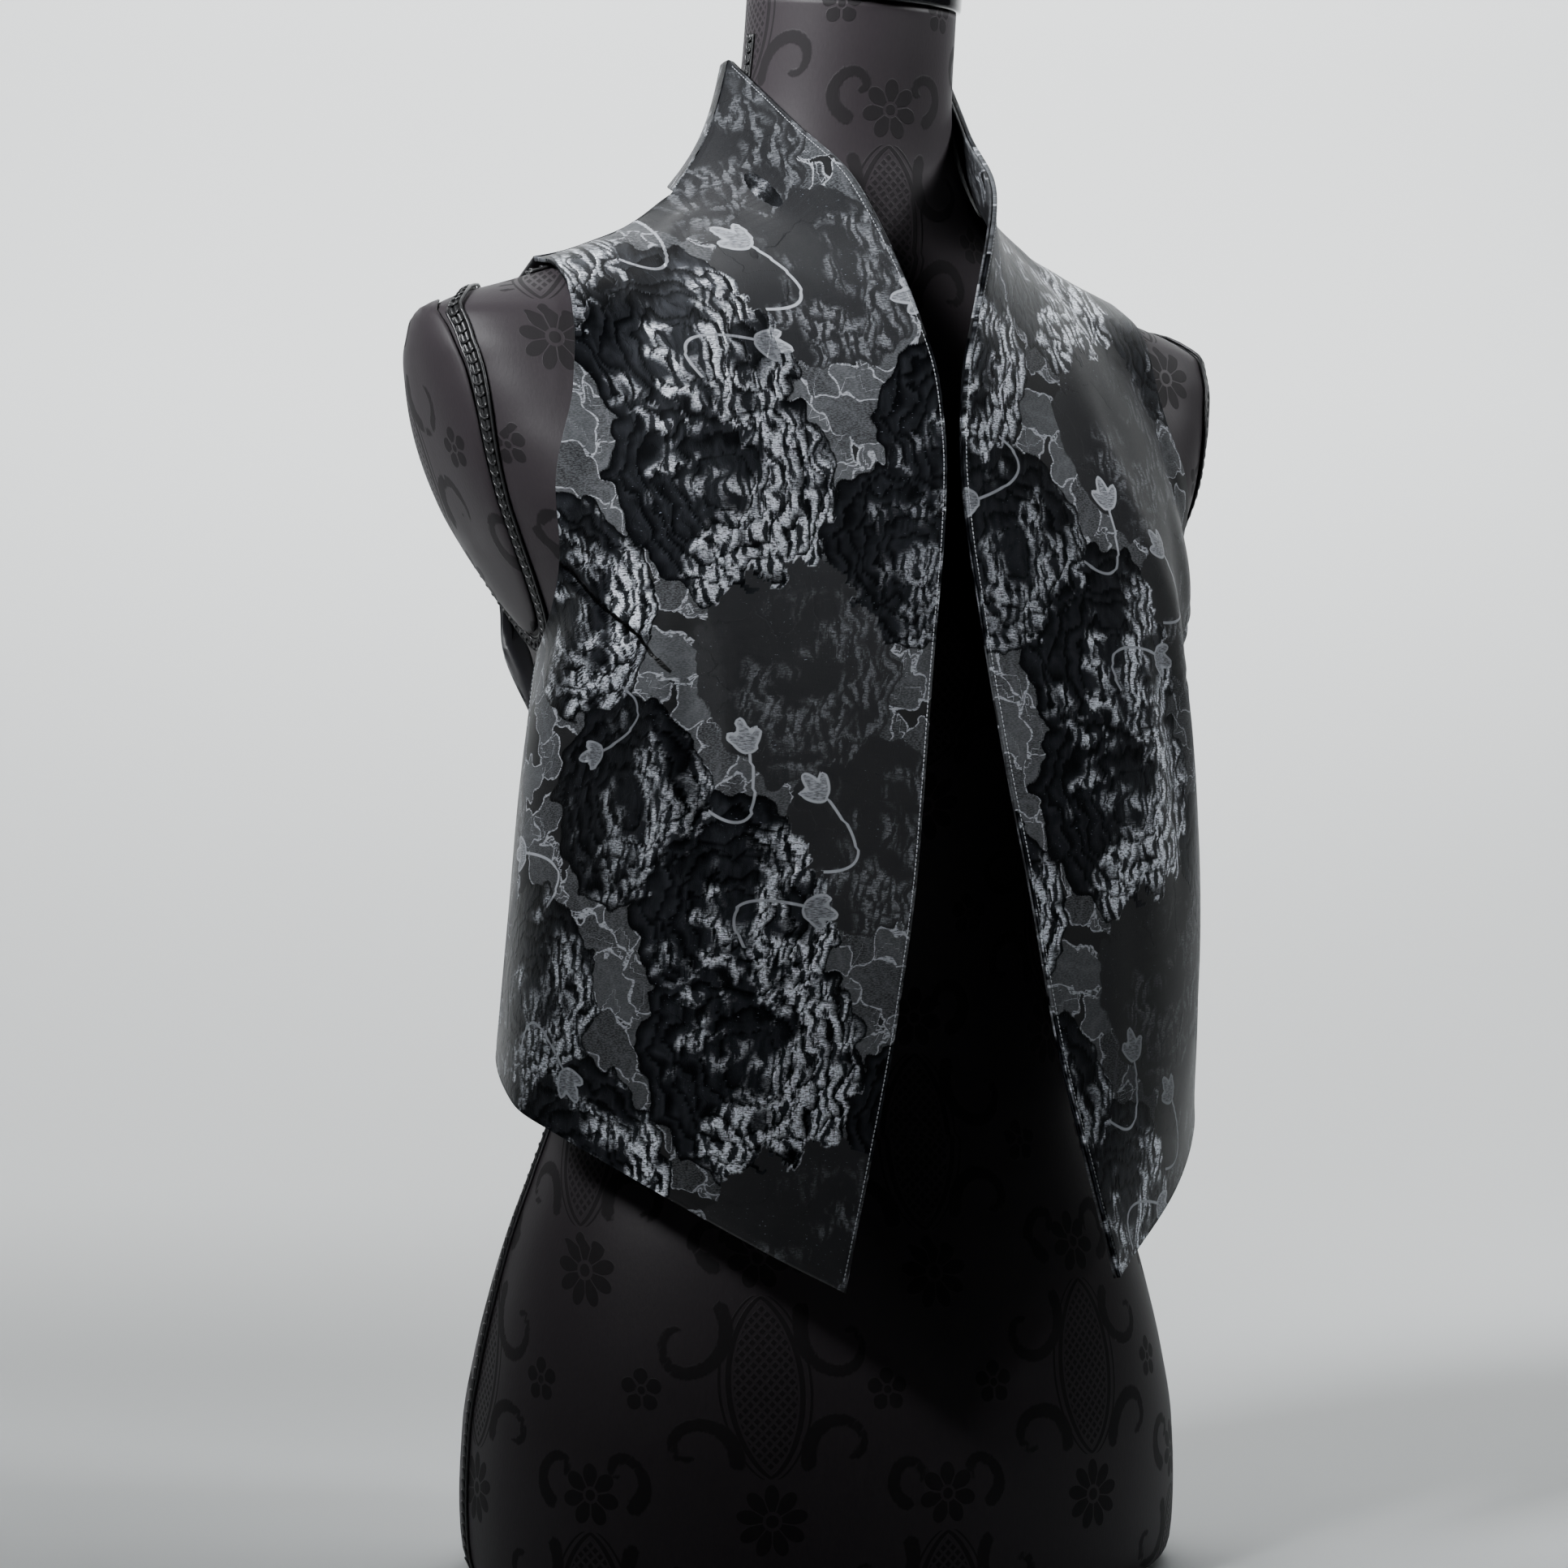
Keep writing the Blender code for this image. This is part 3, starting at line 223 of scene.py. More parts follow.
def form_point(angle, z):
    """Point of the form's surface: angle 0 at the wearer's left (+X), a quarter turn at the back (+Y)."""
    row = {k: ease(FORM_TABLE["z"], FORM_TABLE[k], z) for k in FORM_COLUMNS[1:]}
    c, s = np.cos(angle), np.sin(angle)
    power = 2.0 / row["square"]
    x = row["half"] * np.sign(c) * np.abs(c) ** power
    depth = np.where(s < 0, row["front"], row["back"])
    y = depth * np.sign(s) * np.abs(s) ** power
    ahead = np.clip(-s, 0, 1) ** 1.2
    tall = np.where(z > BUST["z"], BUST["up"], BUST["down"])
    high = bell((z - BUST["z"]) / tall)
    y = y - ahead * BUST["rise"] * high * (bell((x - BUST["x"]) / BUST["wide"]) + bell((x + BUST["x"]) / BUST["wide"]))
    tall = np.where(z > HOLLOW["z"], HOLLOW["up"], HOLLOW["down"])
    y = y + ahead * HOLLOW["sink"] * bell((z - HOLLOW["z"]) / tall) * bell((np.abs(x) - HOLLOW["x"]) / HOLLOW["wide"])
    z_out = z + np.tan(np.radians(row["tilt"])) * y
    return np.stack([x, y + row["mid"], z_out], axis=-1)


def form_levels():
    """The table's levels, with one more between levels that are over 15 mm apart."""
    table = FORM_TABLE["z"]
    between = (table[:-1] + table[1:])[np.diff(table) > 15.0] / 2
    return np.sort(np.concatenate([table, between]))


def form_grid(around=FORM_AROUND, levels=None):
    levels = form_levels() if levels is None else levels
    turn = np.linspace(0, 2 * np.pi, around, endpoint=False)
    # even steps along the outline, so that the shoulder tips are as fine as the chest
    rows = []
    for z in levels:
        fine = np.linspace(0, 2 * np.pi, 721)
        ring = form_point(fine, np.full_like(fine, z))
        gone = np.concatenate([[0], np.cumsum(np.linalg.norm(np.diff(ring, axis=0), axis=1))])
        rows.append(form_point(np.interp(turn / (2 * np.pi) * gone[-1], gone, fine), np.full(around, z)))
    return np.array(rows)


def rings_to_solid(rows):
    """Closed body from rings, with a fan at each end."""
    count, around = rows.shape[:2]
    points = rows.reshape(-1, 3).tolist()
    faces = []
    for i in range(count - 1):
        for j in range(around):
            k = (j + 1) % around
            faces.append((i * around + j, i * around + k, (i + 1) * around + k, (i + 1) * around + j))
    faces.append(tuple(range(around))[::-1])
    faces.append(tuple((count - 1) * around + j for j in range(around)))
    return points, faces


def tree_of(points, faces):
    return BVHTree.FromPolygons([tuple(p) for p in points], faces, epsilon=0.0)


# ---------- cloth ----------


def even(path, count):
    """count points at even steps along each path of an array (rows, samples, 3)."""
    out = np.empty((path.shape[0], count, 3))
    for i, line in enumerate(path):
        gone = np.concatenate([[0], np.cumsum(np.linalg.norm(np.diff(line, axis=0), axis=1))])
        at = np.linspace(0, gone[-1], count)
        for c in range(3):
            out[i, :, c] = np.interp(at, gone, line[:, c])
    return out


def front_grid(nu, nv):
    """Outer face of the left front, rows from hem (0) to collar seam and shoulder (nv), columns from edge to side."""
    table = columns(FRONT_COLUMNS, FRONT)
    v = np.linspace(0, 1, nv + 1)
    row = {k: ease(table["t"], table[k], v)[:, None] for k in FRONT_COLUMNS[1:]}
    # collar or border: edge to roll, slightly hollow where it stands off the neck
    s = np.linspace(0, 1, 41)[None, :]
    stand = np.clip((v - 0.6) / 0.3, 0, 1)[:, None]
    border = np.stack([
        row["ex"] + (row["rx"] - row["ex"]) * (s - 0.16 * stand * np.sin(np.pi * s)),
        row["ey"] + (row["ry"] - row["ey"]) * s,
        row["ez"] + (row["rz"] - row["ez"]) * (s + 0.05 * stand * np.sin(np.pi * s)),
    ], axis=-1)
    # body: roll to widest point, then on to the side
    q = np.linspace(0, 0.5 * np.pi, 121)[None, :]
    power = 2.0 / row["square"]
    bx = row["rx"] + (row["wx"] - row["rx"]) * np.sin(q) ** power
    by = row["ry"] + (row["wy"] - row["ry"]) * (1 - np.abs(np.cos(q)) ** power)
    w = np.linspace(0, 1, 31)[None, 1:]
    tx = row["wx"] + (row["sx"] - row["wx"]) * w**1.8
    ty = row["wy"] + (row["sy"] - row["wy"]) * w
    x, y = np.concatenate([bx, tx], axis=1), np.concatenate([by, ty], axis=1)
    run = np.cumsum(np.hypot(np.diff(x, axis=1, prepend=x[:, :1]), np.diff(y, axis=1, prepend=y[:, :1])), axis=1)
    share = run / run[:, -1:]
    z = row["rz"] + (row["sz"] - row["rz"]) * (1 - (1 - share) ** row["lift"])
    body = np.stack([x, y, z], axis=-1)
    roll = round(ROLL_U * nu)
    grid = np.concatenate([even(border, roll + 1), even(body, nu - roll + 1)[:, 1:]], axis=1)
    # soften the roll, keeping the edge, the side and the shoulder seam
    for _ in range(3):
        soft = grid.copy()
        soft[:, 1:-1] = 0.25 * grid[:, :-2] + 0.5 * grid[:, 1:-1] + 0.25 * grid[:, 2:]
        near = bell((np.arange(nu + 1) - roll) / (0.16 * nu))[None, :, None]
        keep = np.clip((1 - v) * 14, 0, 1)[:, None, None]
        grid = grid + (soft - grid) * near * keep
    return grid


def back_grid(nu, nv):
    """Outer face of the back's left half, columns from the centre back (0) to the side (nu)."""
    table = columns(BACK_COLUMNS, BACK)
    v = np.linspace(0, 1, nv + 1)
    row = {k: ease(table["t"], table[k], v)[:, None] for k in BACK_COLUMNS[1:]}
    zero = np.zeros_like(row["cy"])
    centre = np.concatenate([zero, row["cy"], row["cz"]], axis=1)
    neck = np.concatenate([row["nx"], row["ny"], row["nz"]], axis=1)
    side = np.concatenate([row["sx"], row["sy"], row["sz"]], axis=1)
    a, b = np.linalg.norm(neck - centre, axis=1)[:, None], np.linalg.norm(side - neck, axis=1)[:, None]
    out = np.array([[1.0, 0.0, 0.0]])
    top = np.clip((v - 0.72) / 0.28, 0, 1)[:, None]
    middle = (side - centre) / np.linalg.norm(side - centre, axis=1)[:, None]
    turn = np.array([[0.45, -1.0, 0.0]]) / math.hypot(0.45, 1.0)
    ending = turn * (1 - top) + (side - neck) / b * top
    ending /= np.linalg.norm(ending, axis=1)[:, None]
    s = np.linspace(0, 1, 61)[None, :, None]

    def arc(p, q, tp, tq, size):
        p, q, tp, tq = p[:, None], q[:, None], (tp * size)[:, None], (tq * size)[:, None]
        return (2 * s**3 - 3 * s**2 + 1) * p + (s**3 - 2 * s**2 + s) * tp + (3 * s**2 - 2 * s**3) * q + (s**3 - s**2) * tq

    first = arc(centre, neck, out + zero, middle, a)
    second = arc(neck, side, middle, ending, b)
    return even(np.concatenate([first, second[:, 1:]], axis=1), nu + 1)


def relaxed(grid, times):
    """Evens out the face inside its outline; the outline stays as it is."""
    for _ in range(times):
        inner = grid[1:-1, 1:-1]
        around = grid[:-2, 1:-1] + grid[2:, 1:-1] + grid[1:-1, :-2] + grid[1:-1, 2:]
        grid = grid.copy()
        grid[1:-1, 1:-1] = 0.5 * inner + 0.125 * around
    return grid


def normals_of(grid):
    du, dv = np.gradient(grid, axis=1), np.gradient(grid, axis=0)
    n = np.cross(du, dv)
    return n / np.maximum(np.linalg.norm(n, axis=2, keepdims=True), 1e-9)


def outward(grid, towards=None):
    n = normals_of(grid)
    away = grid - (np.array([0.0, -10.0, 0.0]) * np.ones_like(grid) * 1.0)
    away[..., 2] = 0
    return n if (n * away).sum() > 0 else -n


def clear_of(grid, tree, room):
    """Moves points out of the form until they are room mm off it."""
    flat, need = grid.reshape(-1, 3).copy(), np.broadcast_to(room, grid.shape[:2]).reshape(-1)
    for i, p in enumerate(flat):
        spot, normal, _, _ = tree.find_nearest(Vector(p))
        off = (Vector(p) - spot).dot(normal)
        if off < need[i]:
            flat[i] = p + np.array(normal) * (need[i] - off)
    return flat.reshape(grid.shape)


def add_folds(grid, normal, strength=1.0):
    nv, nu = grid.shape[0] - 1, grid.shape[1] - 1
    u, v = np.meshgrid(np.linspace(0, 1, nu + 1), np.linspace(0, 1, nv + 1))
    total = np.zeros_like(u)
    for fu, fv, across, along, deep, lean in FOLDS:
        total += deep * bell((u - fu - lean * (v - fv) / along) / across) * bell((v - fv) / along)
    inside = np.clip(u * 12, 0, 1) * np.clip((1 - u) * 8, 0, 1) * np.clip(v * 20, 0, 1) * np.clip((1 - v) * 12, 0, 1)
    return grid + normal * (total * strength * inside)[..., None]


def seated(tree, points, out, faces, room):
    """How far each point moves along its direction so that the faces between them clear the form by room mm."""
    lift = np.zeros(len(points))
    blends = ((1, 1, 1, 1), (1, 1, 0, 0), (0, 1, 1, 0), (0, 0, 1, 1), (1, 0, 0, 1), (1, 0, 1, 0), (1, 0, 0, 0), (0, 1, 0, 0))
    for _ in range(12):
        moved = points + out * lift[:, None]
        more = np.zeros(len(points))
        for face in faces:
            corners = [face[i % len(face)] for i in range(4)]
            for blend in blends:
                spot = sum(moved[c] * b for c, b in zip(corners, blend)) / sum(blend)
                near, normal, _, _ = tree.find_nearest(Vector(spot))
                lack = room - (Vector(spot) - near).dot(normal)
                if lack > 0:
                    for c in corners:
                        more[c] = max(more[c], lack)
        if not more.any():
            break
        lift += more * 1.05
    return lift


def wall(grid, normal, thick, lift=0.0):
    """Closed body between the outer face and the same face moved in by thick."""
    outer, inner = grid - normal * lift, grid - normal * (lift + thick)
    nv, nu = grid.shape[0], grid.shape[1]
    points = np.concatenate([outer.reshape(-1, 3), inner.reshape(-1, 3)])
    count = nv * nu
    faces = []
    for i in range(nv - 1):
        for j in range(nu - 1):
            a, b, c, d = i * nu + j, i * nu + j + 1, (i + 1) * nu + j + 1, (i + 1) * nu + j
            faces += [(a, b, c), (a, c, d), (count + c, count + b, count + a), (count + d, count + c, count + a)]
    ring = [j for j in range(nu)] + [i * nu + nu - 1 for i in range(1, nv)]
    ring += [(nv - 1) * nu + j for j in range(nu - 2, -1, -1)] + [i * nu for i in range(nv - 2, 0, -1)]
    for p, q in zip(ring, ring[1:] + ring[:1]):
        faces += [(q, p, count + p), (q, count + p, count + q)]
    return points, faces


def seated_cloth(tree, grid, normal, room=0.7):
    """Moves the face out where its inside would come nearer than room mm to the form."""
    nv, nu = grid.shape[:2]
    faces = [(i * nu + j, i * nu + j + 1, (i + 1) * nu + j + 1, (i + 1) * nu + j) for i in range(nv - 1) for j in range(nu - 1)]
    inside = (grid - normal * WALL).reshape(-1, 3)
    return grid + normal * seated(tree, inside, normal.reshape(-1, 3), faces, room).reshape(nv, nu, 1)


def mirrored(points, faces):
    points = np.array(points, float) * np.array([-1.0, 1.0, 1.0])
    return points, [tuple(f)[::-1] for f in faces]


def follow(line, target):
    """Nearest points of a polyline, with their places as fractional indices."""
    a, b = line[:-1], line[1:]
    d = b - a
    s = np.clip(((target[:, None] - a) * d).sum(-1) / np.maximum((d * d).sum(-1), 1e-9), 0, 1)
    spot = a + s[..., None] * d
    best = np.linalg.norm(target[:, None] - spot, axis=-1).argmin(axis=1)
    pick = np.arange(len(target))
    return spot[pick, best], best + s[pick, best]


def at_index(values, place):
    i = np.clip(np.floor(place).astype(int), 0, len(values) - 2)
    s = (place - i)[:, None]
    return values[i] * (1 - s) + values[i + 1] * s


def cloth_faces(tree, nu, nv, back_u, back_v, collar_u, collar_v):
    """Outer faces and normals of the front, the half back and the half back collar, clear of the form."""
    front = relaxed(front_grid(nu, nv), round(6 * (nu / FRONT_U) ** 2))
    v = np.linspace(0, 1, nv + 1)[:, None]
    u = np.linspace(0, 1, nu + 1)[None, :]
    room = WALL + CLEAR + SHOULDER_LIFT * np.clip((v - 0.8) / 0.2, 0, 1) * np.clip((u - 0.2) * 8, 0, 1)
    front = clear_of(front, tree, room)
    front = clear_of(front, tree, room)
    front = add_folds(front, outward(front))
    front = clear_of(front, tree, room)
    n_front = outward(front)
    front = seated_cloth(tree, front, n_front)
    roll = round(ROLL_U * nu)
    # the shoulder seam's normals lean neither way, so that the two walls meet edge to edge
    seam = n_front[-1].copy()
    seam[roll:, 1] *= 0.15
    n_front[-1] = seam / np.linalg.norm(seam, axis=1, keepdims=True)

    back = relaxed(back_grid(back_u, back_v), 3)
    t = np.linspace(0, 1, back_v + 1)[:, None]
    room = WALL + CLEAR + SHOULDER_LIFT * np.clip((t - 0.8) / 0.2, 0, 1) * np.ones((1, back_u + 1))
    back = clear_of(back, tree, room)
    back = clear_of(back, tree, room)
    n_back = outward(back)
    step = np.array([0.0, SEAM_GAP, 0.0])
    seam_rows = np.flatnonzero(back[:, -1, 2] <= front[np.argmin(np.abs(v[:, 0] - SIDE_TOP)), -1, 2] + 1.0)
    side_line, side_normal = front[: round(SIDE_TOP * nv) + 1, -1], n_front[: round(SIDE_TOP * nv) + 1, -1]
    spot, place = follow(side_line, back[seam_rows, -1])
    move = np.zeros_like(back)
    gone = np.arange(back_u, -1, -1) / back_u
    move[seam_rows] = (spot + step - back[seam_rows, -1])[:, None] * bell(gone * 6)[None, :, None]
    back = back + move
    n_back[seam_rows, -1] = at_index(side_normal, place)
    # shoulder
    neck = round(0.5 * back_u)
    top_line, top_normal = front[-1, roll:], n_front[-1, roll:]
    far = np.linalg.norm(back[-1] - top_line[0], axis=1)
    neck = int(np.argmin(far))
    target = even(top_line[None], back_u - neck + 1)[0]
    _, place = follow(top_line, target)
    fade = bell(np.arange(back_v, -1, -1) / back_v * 6)[:, None, None]
    shift = np.zeros((back_u + 1, 3))
    shift[neck:] = target + step - back[-1, neck:]
    shift[:neck] = shift[neck] * bell((neck - np.arange(neck)) / max(neck, 1) * 2)[:, None]
    back = back + fade * shift[None]
    n_back = np.where(np.isin(np.arange(back_v + 1), seam_rows)[:, None, None] & (np.arange(back_u + 1) == back_u)[None, :, None], n_back, outward(back))
    n_back[-1, neck:] = at_index(top_normal, place)
    n_back[:, 0, 0] = 0
    n_back /= np.linalg.norm(n_back, axis=2, keepdims=True)
    back = seated_cloth(tree, back, n_back)

    # back collar: from the front's collar seam (roll to edge of its last row) round to the centre back
    post = front[-1, : roll + 1][::-1]  # neck point up to the peak
    n_post = n_front[-1, : roll + 1][::-1]
    post_at = np.linspace(0.045 * roll, roll, collar_v + 1)
    post, n_post = at_index(post, post_at), at_index(n_post, post_at)
    start = post + step + np.array([0, 0, 0.0])
    foot = np.array([0.0, BACK_COLLAR["foot_y"], BACK_COLLAR["foot_z"]])
    head = np.array([0.0, BACK_COLLAR["top_y"], BACK_COLLAR["top_z"]])
    share = np.linspace(0, 1, collar_v + 1)[:, None]
    middle = foot + (head - foot) * share
    s = np.linspace(0, 0.5 * np.pi, 61)
    x = start[:, 0][:, None] * np.cos(s)[None]
    y = start[:, 1][:, None] + (middle[:, 1] - start[:, 1])[:, None] * np.sin(s)[None]
    z = start[:, 2][:, None] + (middle[:, 2] - start[:, 2])[:, None] * (np.sin(s) ** 2)[None]
    collar = even(np.stack([x, y, z], axis=-1), collar_u + 1)[:, ::-1]
    n_collar = outward(collar)
    n_collar[:, -1] = n_post / np.linalg.norm(n_post, axis=1, keepdims=True)
    n_collar[:, 0, 0] = 0
    n_collar /= np.linalg.norm(n_collar, axis=2, keepdims=True)
    # its foot stands just above the back's neckline
    line, _ = follow(back[-1, : neck + 1], collar[0])
    drop = (line[:, 2] + 2.2 - collar[0, :, 2])[None] * (1 - share) ** 2
    collar[..., 2] += drop
    return {"front": (front, n_front), "back": (back, n_back), "collar": (collar, n_collar), "roll": roll, "neck": neck}


def whole(half, normal):
    """Joins a half face, whose column 0 is on x = 0, with its mirror image."""
    flip = np.array([-1.0, 1.0, 1.0])
    return np.concatenate([(half * flip)[:, :0:-1], half], axis=1), np.concatenate([(normal * flip)[:, :0:-1], normal], axis=1)


def on_form(tree, spots):
    points, normals = [], []
    for p in spots:
        spot, normal, _, _ = tree.find_nearest(Vector(p))
        points.append(np.array(spot))
        normals.append(np.array(normal))
    return np.array(points), np.array(normals)


# Arm plate: an oval on the form's side, in a plane that leans in at its foot.
PLATE = {"y": 8.0, "z": 482.5, "half_y": 40.5, "half_z": 70.5, "taper": 0.16}


def plate_ring(scale, count):
    turn = np.linspace(0, 2 * np.pi, count, endpoint=False)
    high = PLATE["half_z"] * scale * np.sin(turn)
    narrow = 1 + PLATE["taper"] * high / PLATE["half_z"]
    return np.stack([np.full(count, 260.0), PLATE["y"] + PLATE["half_y"] * scale * np.cos(turn) * narrow, PLATE["z"] + high], axis=1)


def cast(tree, spots, direction=(-1.0, 0.0, 0.0)):
    points, normals = [], []
    for p in spots:
        spot, normal, _, _ = tree.ray_cast(Vector(p), Vector(direction))
        points.append(np.array(spot))
        normals.append(np.array(normal))
    return np.array(points), np.array(normals)


def side_path(tree, low, high, count, y_at):
    z = np.linspace(low, high, count)
    return cast(tree, [(260.0, y_at(h), h) for h in z])


# ---------- finer shells on the same forms ----------

FINE_U, FINE_V = 208, 372  # steps of a front's outer face, about 1.4 mm
COARSE = 4  # its inner face has a step for each 4


def spline_rows(at, n):
    """Weights of a natural cubic spline through n even knots."""
    a, b = np.eye(n), np.zeros((n, n))
    for i in range(1, n - 1):
        a[i, i - 1 : i + 2] = (1, 4, 1)
        b[i, i - 1 : i + 2] = (6, -12, 6)
    m = np.linalg.solve(a, b)
    i = np.clip(np.floor(at).astype(int), 0, n - 2)
    t = (at - i)[:, None]
    e = np.eye(n)
    return (1 - t) * e[i] + t * e[i + 1] + (((1 - t) ** 3 - (1 - t)) * m[i] + (t**3 - t) * m[i + 1]) / 6


def finer(grid, nv, nu):
    wv = spline_rows(np.linspace(0, grid.shape[0] - 1, nv + 1), grid.shape[0])
    wu = spline_rows(np.linspace(0, grid.shape[1] - 1, nu + 1), grid.shape[1])
    return np.einsum("ai,ijc,bj->abc", wv, grid, wu)


def unit(v):
    return v / np.maximum(np.linalg.norm(v, axis=-1, keepdims=True), 1e-9)


def make_mesh(name, points, faces, mat, fields=None, smooth=True):
    mesh = bpy.data.meshes.new(name)
    mesh.from_pydata((np.asarray(points) * MM).tolist(), [], faces)
    mesh.polygons.foreach_set("use_smooth", [smooth] * len(mesh.polygons))
    for key, values in (fields or {}).items():
        values = np.asarray(values, np.float32)
        if values.ndim == 2:
            mesh.attributes.new(key, "FLOAT_VECTOR", "POINT").data.foreach_set("vector", values.ravel())
        else:
            mesh.attributes.new(key, "FLOAT", "POINT").data.foreach_set("value", values)
    mesh.materials.append(mat)
    mesh.update()
    obj = bpy.data.objects.new(name, mesh)
    bpy.context.scene.collection.objects.link(obj)
    return obj


def shell(grid, normal, thick, lift=0.0, step=COARSE, fine_inside=False):
    """Closed shell, fine on one face and coarse on the other, with the grid index of each point."""
    nv, nu = grid.shape[:2]
    outer, inner = grid - normal * lift, grid - normal * (lift + thick)
    fine_face, plain_face = (inner, outer) if fine_inside else (outer, inner)
    where = np.full((nv, nu), -1)
    keep = np.zeros((nv, nu), bool)
    keep[::step, ::step] = True
    keep[0], keep[-1], keep[:, 0], keep[:, -1] = True, True, True, True
    where[keep] = nv * nu + np.arange(keep.sum())
    points = np.concatenate([fine_face.reshape(-1, 3), plain_face[keep]])
    source = np.concatenate([np.arange(nv * nu), np.flatnonzero(keep.ravel())])
    index = np.arange(nv * nu).reshape(nv, nu)
    turned = (np.cross(np.gradient(grid, axis=1), np.gradient(grid, axis=0)) * normal).sum() < 0
    turned = turned != fine_inside
    quads = np.stack([index[:-1, :-1], index[:-1, 1:], index[1:, 1:], index[1:, :-1]], axis=-1).reshape(-1, 4)
    faces = (quads[:, ::-1] if turned else quads).tolist()
    for i in range(0, nv - 1, step):
        for j in range(0, nu - 1, step):
            ring = [(i, c) for c in range(j, j + step)] if i == 0 else [(i, j)]
            ring += [(r, j + step) for r in range(i, i + step)] if j + step == nu - 1 else [(i, j + step)]
            ring += [(i + step, c) for c in range(j + step, j, -1)] if i + step == nv - 1 else [(i + step, j + step)]
            ring += [(r, j) for r in range(i + step, i, -1)] if j == 0 else [(i + step, j)]
            face = [int(where[r, c]) for r, c in ring]
            faces.append(face if turned else face[::-1])
    rim = [(0, j) for j in range(nu)] + [(i, nu - 1) for i in range(1, nv)]
    rim += [(nv - 1, j) for j in range(nu - 2, -1, -1)] + [(i, 0) for i in range(nv - 2, 0, -1)]
    for p, q in zip(rim, rim[1:] + rim[:1]):
        face = [int(index[q]), int(index[p]), int(where[p]), int(where[q])]
        faces.append(face[::-1] if turned else face)
    return points, faces, source


def cloth_axes(grid):
    """Across and up the grain, in mm: the way round at each height from the line x = 75 mm, and the height."""
    across = np.zeros(grid.shape[:2])
    for i, row in enumerate(grid):
        run = np.concatenate([[0], np.cumsum(np.hypot(np.diff(row[:, 0]), np.diff(row[:, 1])))])
        at = int(np.argmax(row[:, 0] >= 75.0))
        across[i] = run - run[at] + 75.0
    return across, grid[..., 2].copy()


def grid_area(grid):
    a, b = grid[1:, 1:] - grid[:-1, :-1], grid[1:, :-1] - grid[:-1, 1:]
    return float(np.linalg.norm(np.cross(a, b), axis=-1).sum() / 2)


def flat_of(grid):
    """Largest width and length along the cloth, and the area of one layer, in metres."""
    wide = np.linalg.norm(np.diff(grid, axis=1), axis=-1).sum(1).max() * MM
    long = np.linalg.norm(np.diff(grid, axis=0), axis=-1).sum(0).max() * MM
    return (float(wide), float(long)), min(grid_area(grid) * MM * MM, float(wide * long))


# ---------- motifs, drawn from named sizes ----------


def shade_noise(x, y, scale, seed):
    """Smooth noise from a few turned waves, about -1 to 1."""
    pick = np.random.RandomState(seed)
    total = np.zeros_like(x)
    for _ in range(7):
        turn, phase, rate = pick.uniform(0, 2 * np.pi), pick.uniform(0, 2 * np.pi), pick.uniform(0.6, 1.5) / scale
        total += np.sin((x * np.cos(turn) + y * np.sin(turn)) * rate * 2 * np.pi + phase)
    return total / 3.2


# Blooms of one repeat: centre, radius, petal turn, brightness (strength of the bloom's painted highlight; below 0.2 the
# bloom is woven matte).
BLOOM_COLUMNS = ("x", "y", "radius", "turn", "bright")
BLOOMS = (
    (98.0, 236.0, 47.0, 0.3, 1.0),
    (104.0, 58.0, 43.0, 1.1, 0.92),
    (152.0, 104.0, 40.0, 2.0, 0.50),
    (74.0, 160.0, 43.0, 0.7, 0.10),
    (44.0, 92.0, 37.0, 1.7, 0.14),
    (176.0, 186.0, 42.0, 2.6, 0.95),
    (22.0, 208.0, 36.0, 1.3, 0.42),
    (206.0, 24.0, 39.0, 0.5, 0.65),
)
REPEAT_X, REPEAT_Y = 214.0, 235.0
PETALS = ((13, 0.80, 0.27), (12, 0.66, 0.25), (10, 0.52, 0.23), (9, 0.39, 0.21), (7, 0.26, 0.18), (5, 0.13, 0.14))


def sprigs():
    """Leaves, vines and buds of one repeat, in the gaps that the blooms leave."""
    pick = np.random.RandomState(41)
    leaves, vines, buds = [], [], []
    for x, y, radius, turn, _ in BLOOMS:
        for k in range(12):
            a = turn + 2 * np.pi * (k + pick.uniform(-0.3, 0.3)) / 12
            r = radius * pick.uniform(0.98, 1.40)
            leaves.append((x + r * np.cos(a), y + r * np.sin(a), pick.uniform(11, 19), pick.uniform(6.5, 10.5), a + pick.uniform(-1.2, 1.2), pick.uniform(0.0, 1.0)))
        for k in range(int(_ > 0.4)):
            a = turn + 1.3 + k * 2.7 + pick.uniform(-0.3, 0.3)
            start = np.array([x + radius * 0.95 * np.cos(a), y + radius * 0.95 * np.sin(a)])
            side, steps = pick.choice([-1.0, 1.0]), np.linspace(0, 1, 25)[:, None]
            far = start + np.array([np.cos(a + 1.0 * side), np.sin(a + 1.0 * side)]) * 30
            bow = start + np.array([np.cos(a - 0.5 * side), np.sin(a - 0.5 * side)]) * 30
            vines.append((1 - steps) ** 2 * start + 2 * steps * (1 - steps) * bow + steps**2 * far)
            buds.append((far[0], far[1], pick.uniform(8.0, 10.0), a + 1.9 * side))
    return leaves, vines, buds


LEAVES, VINES, BUDS = sprigs()


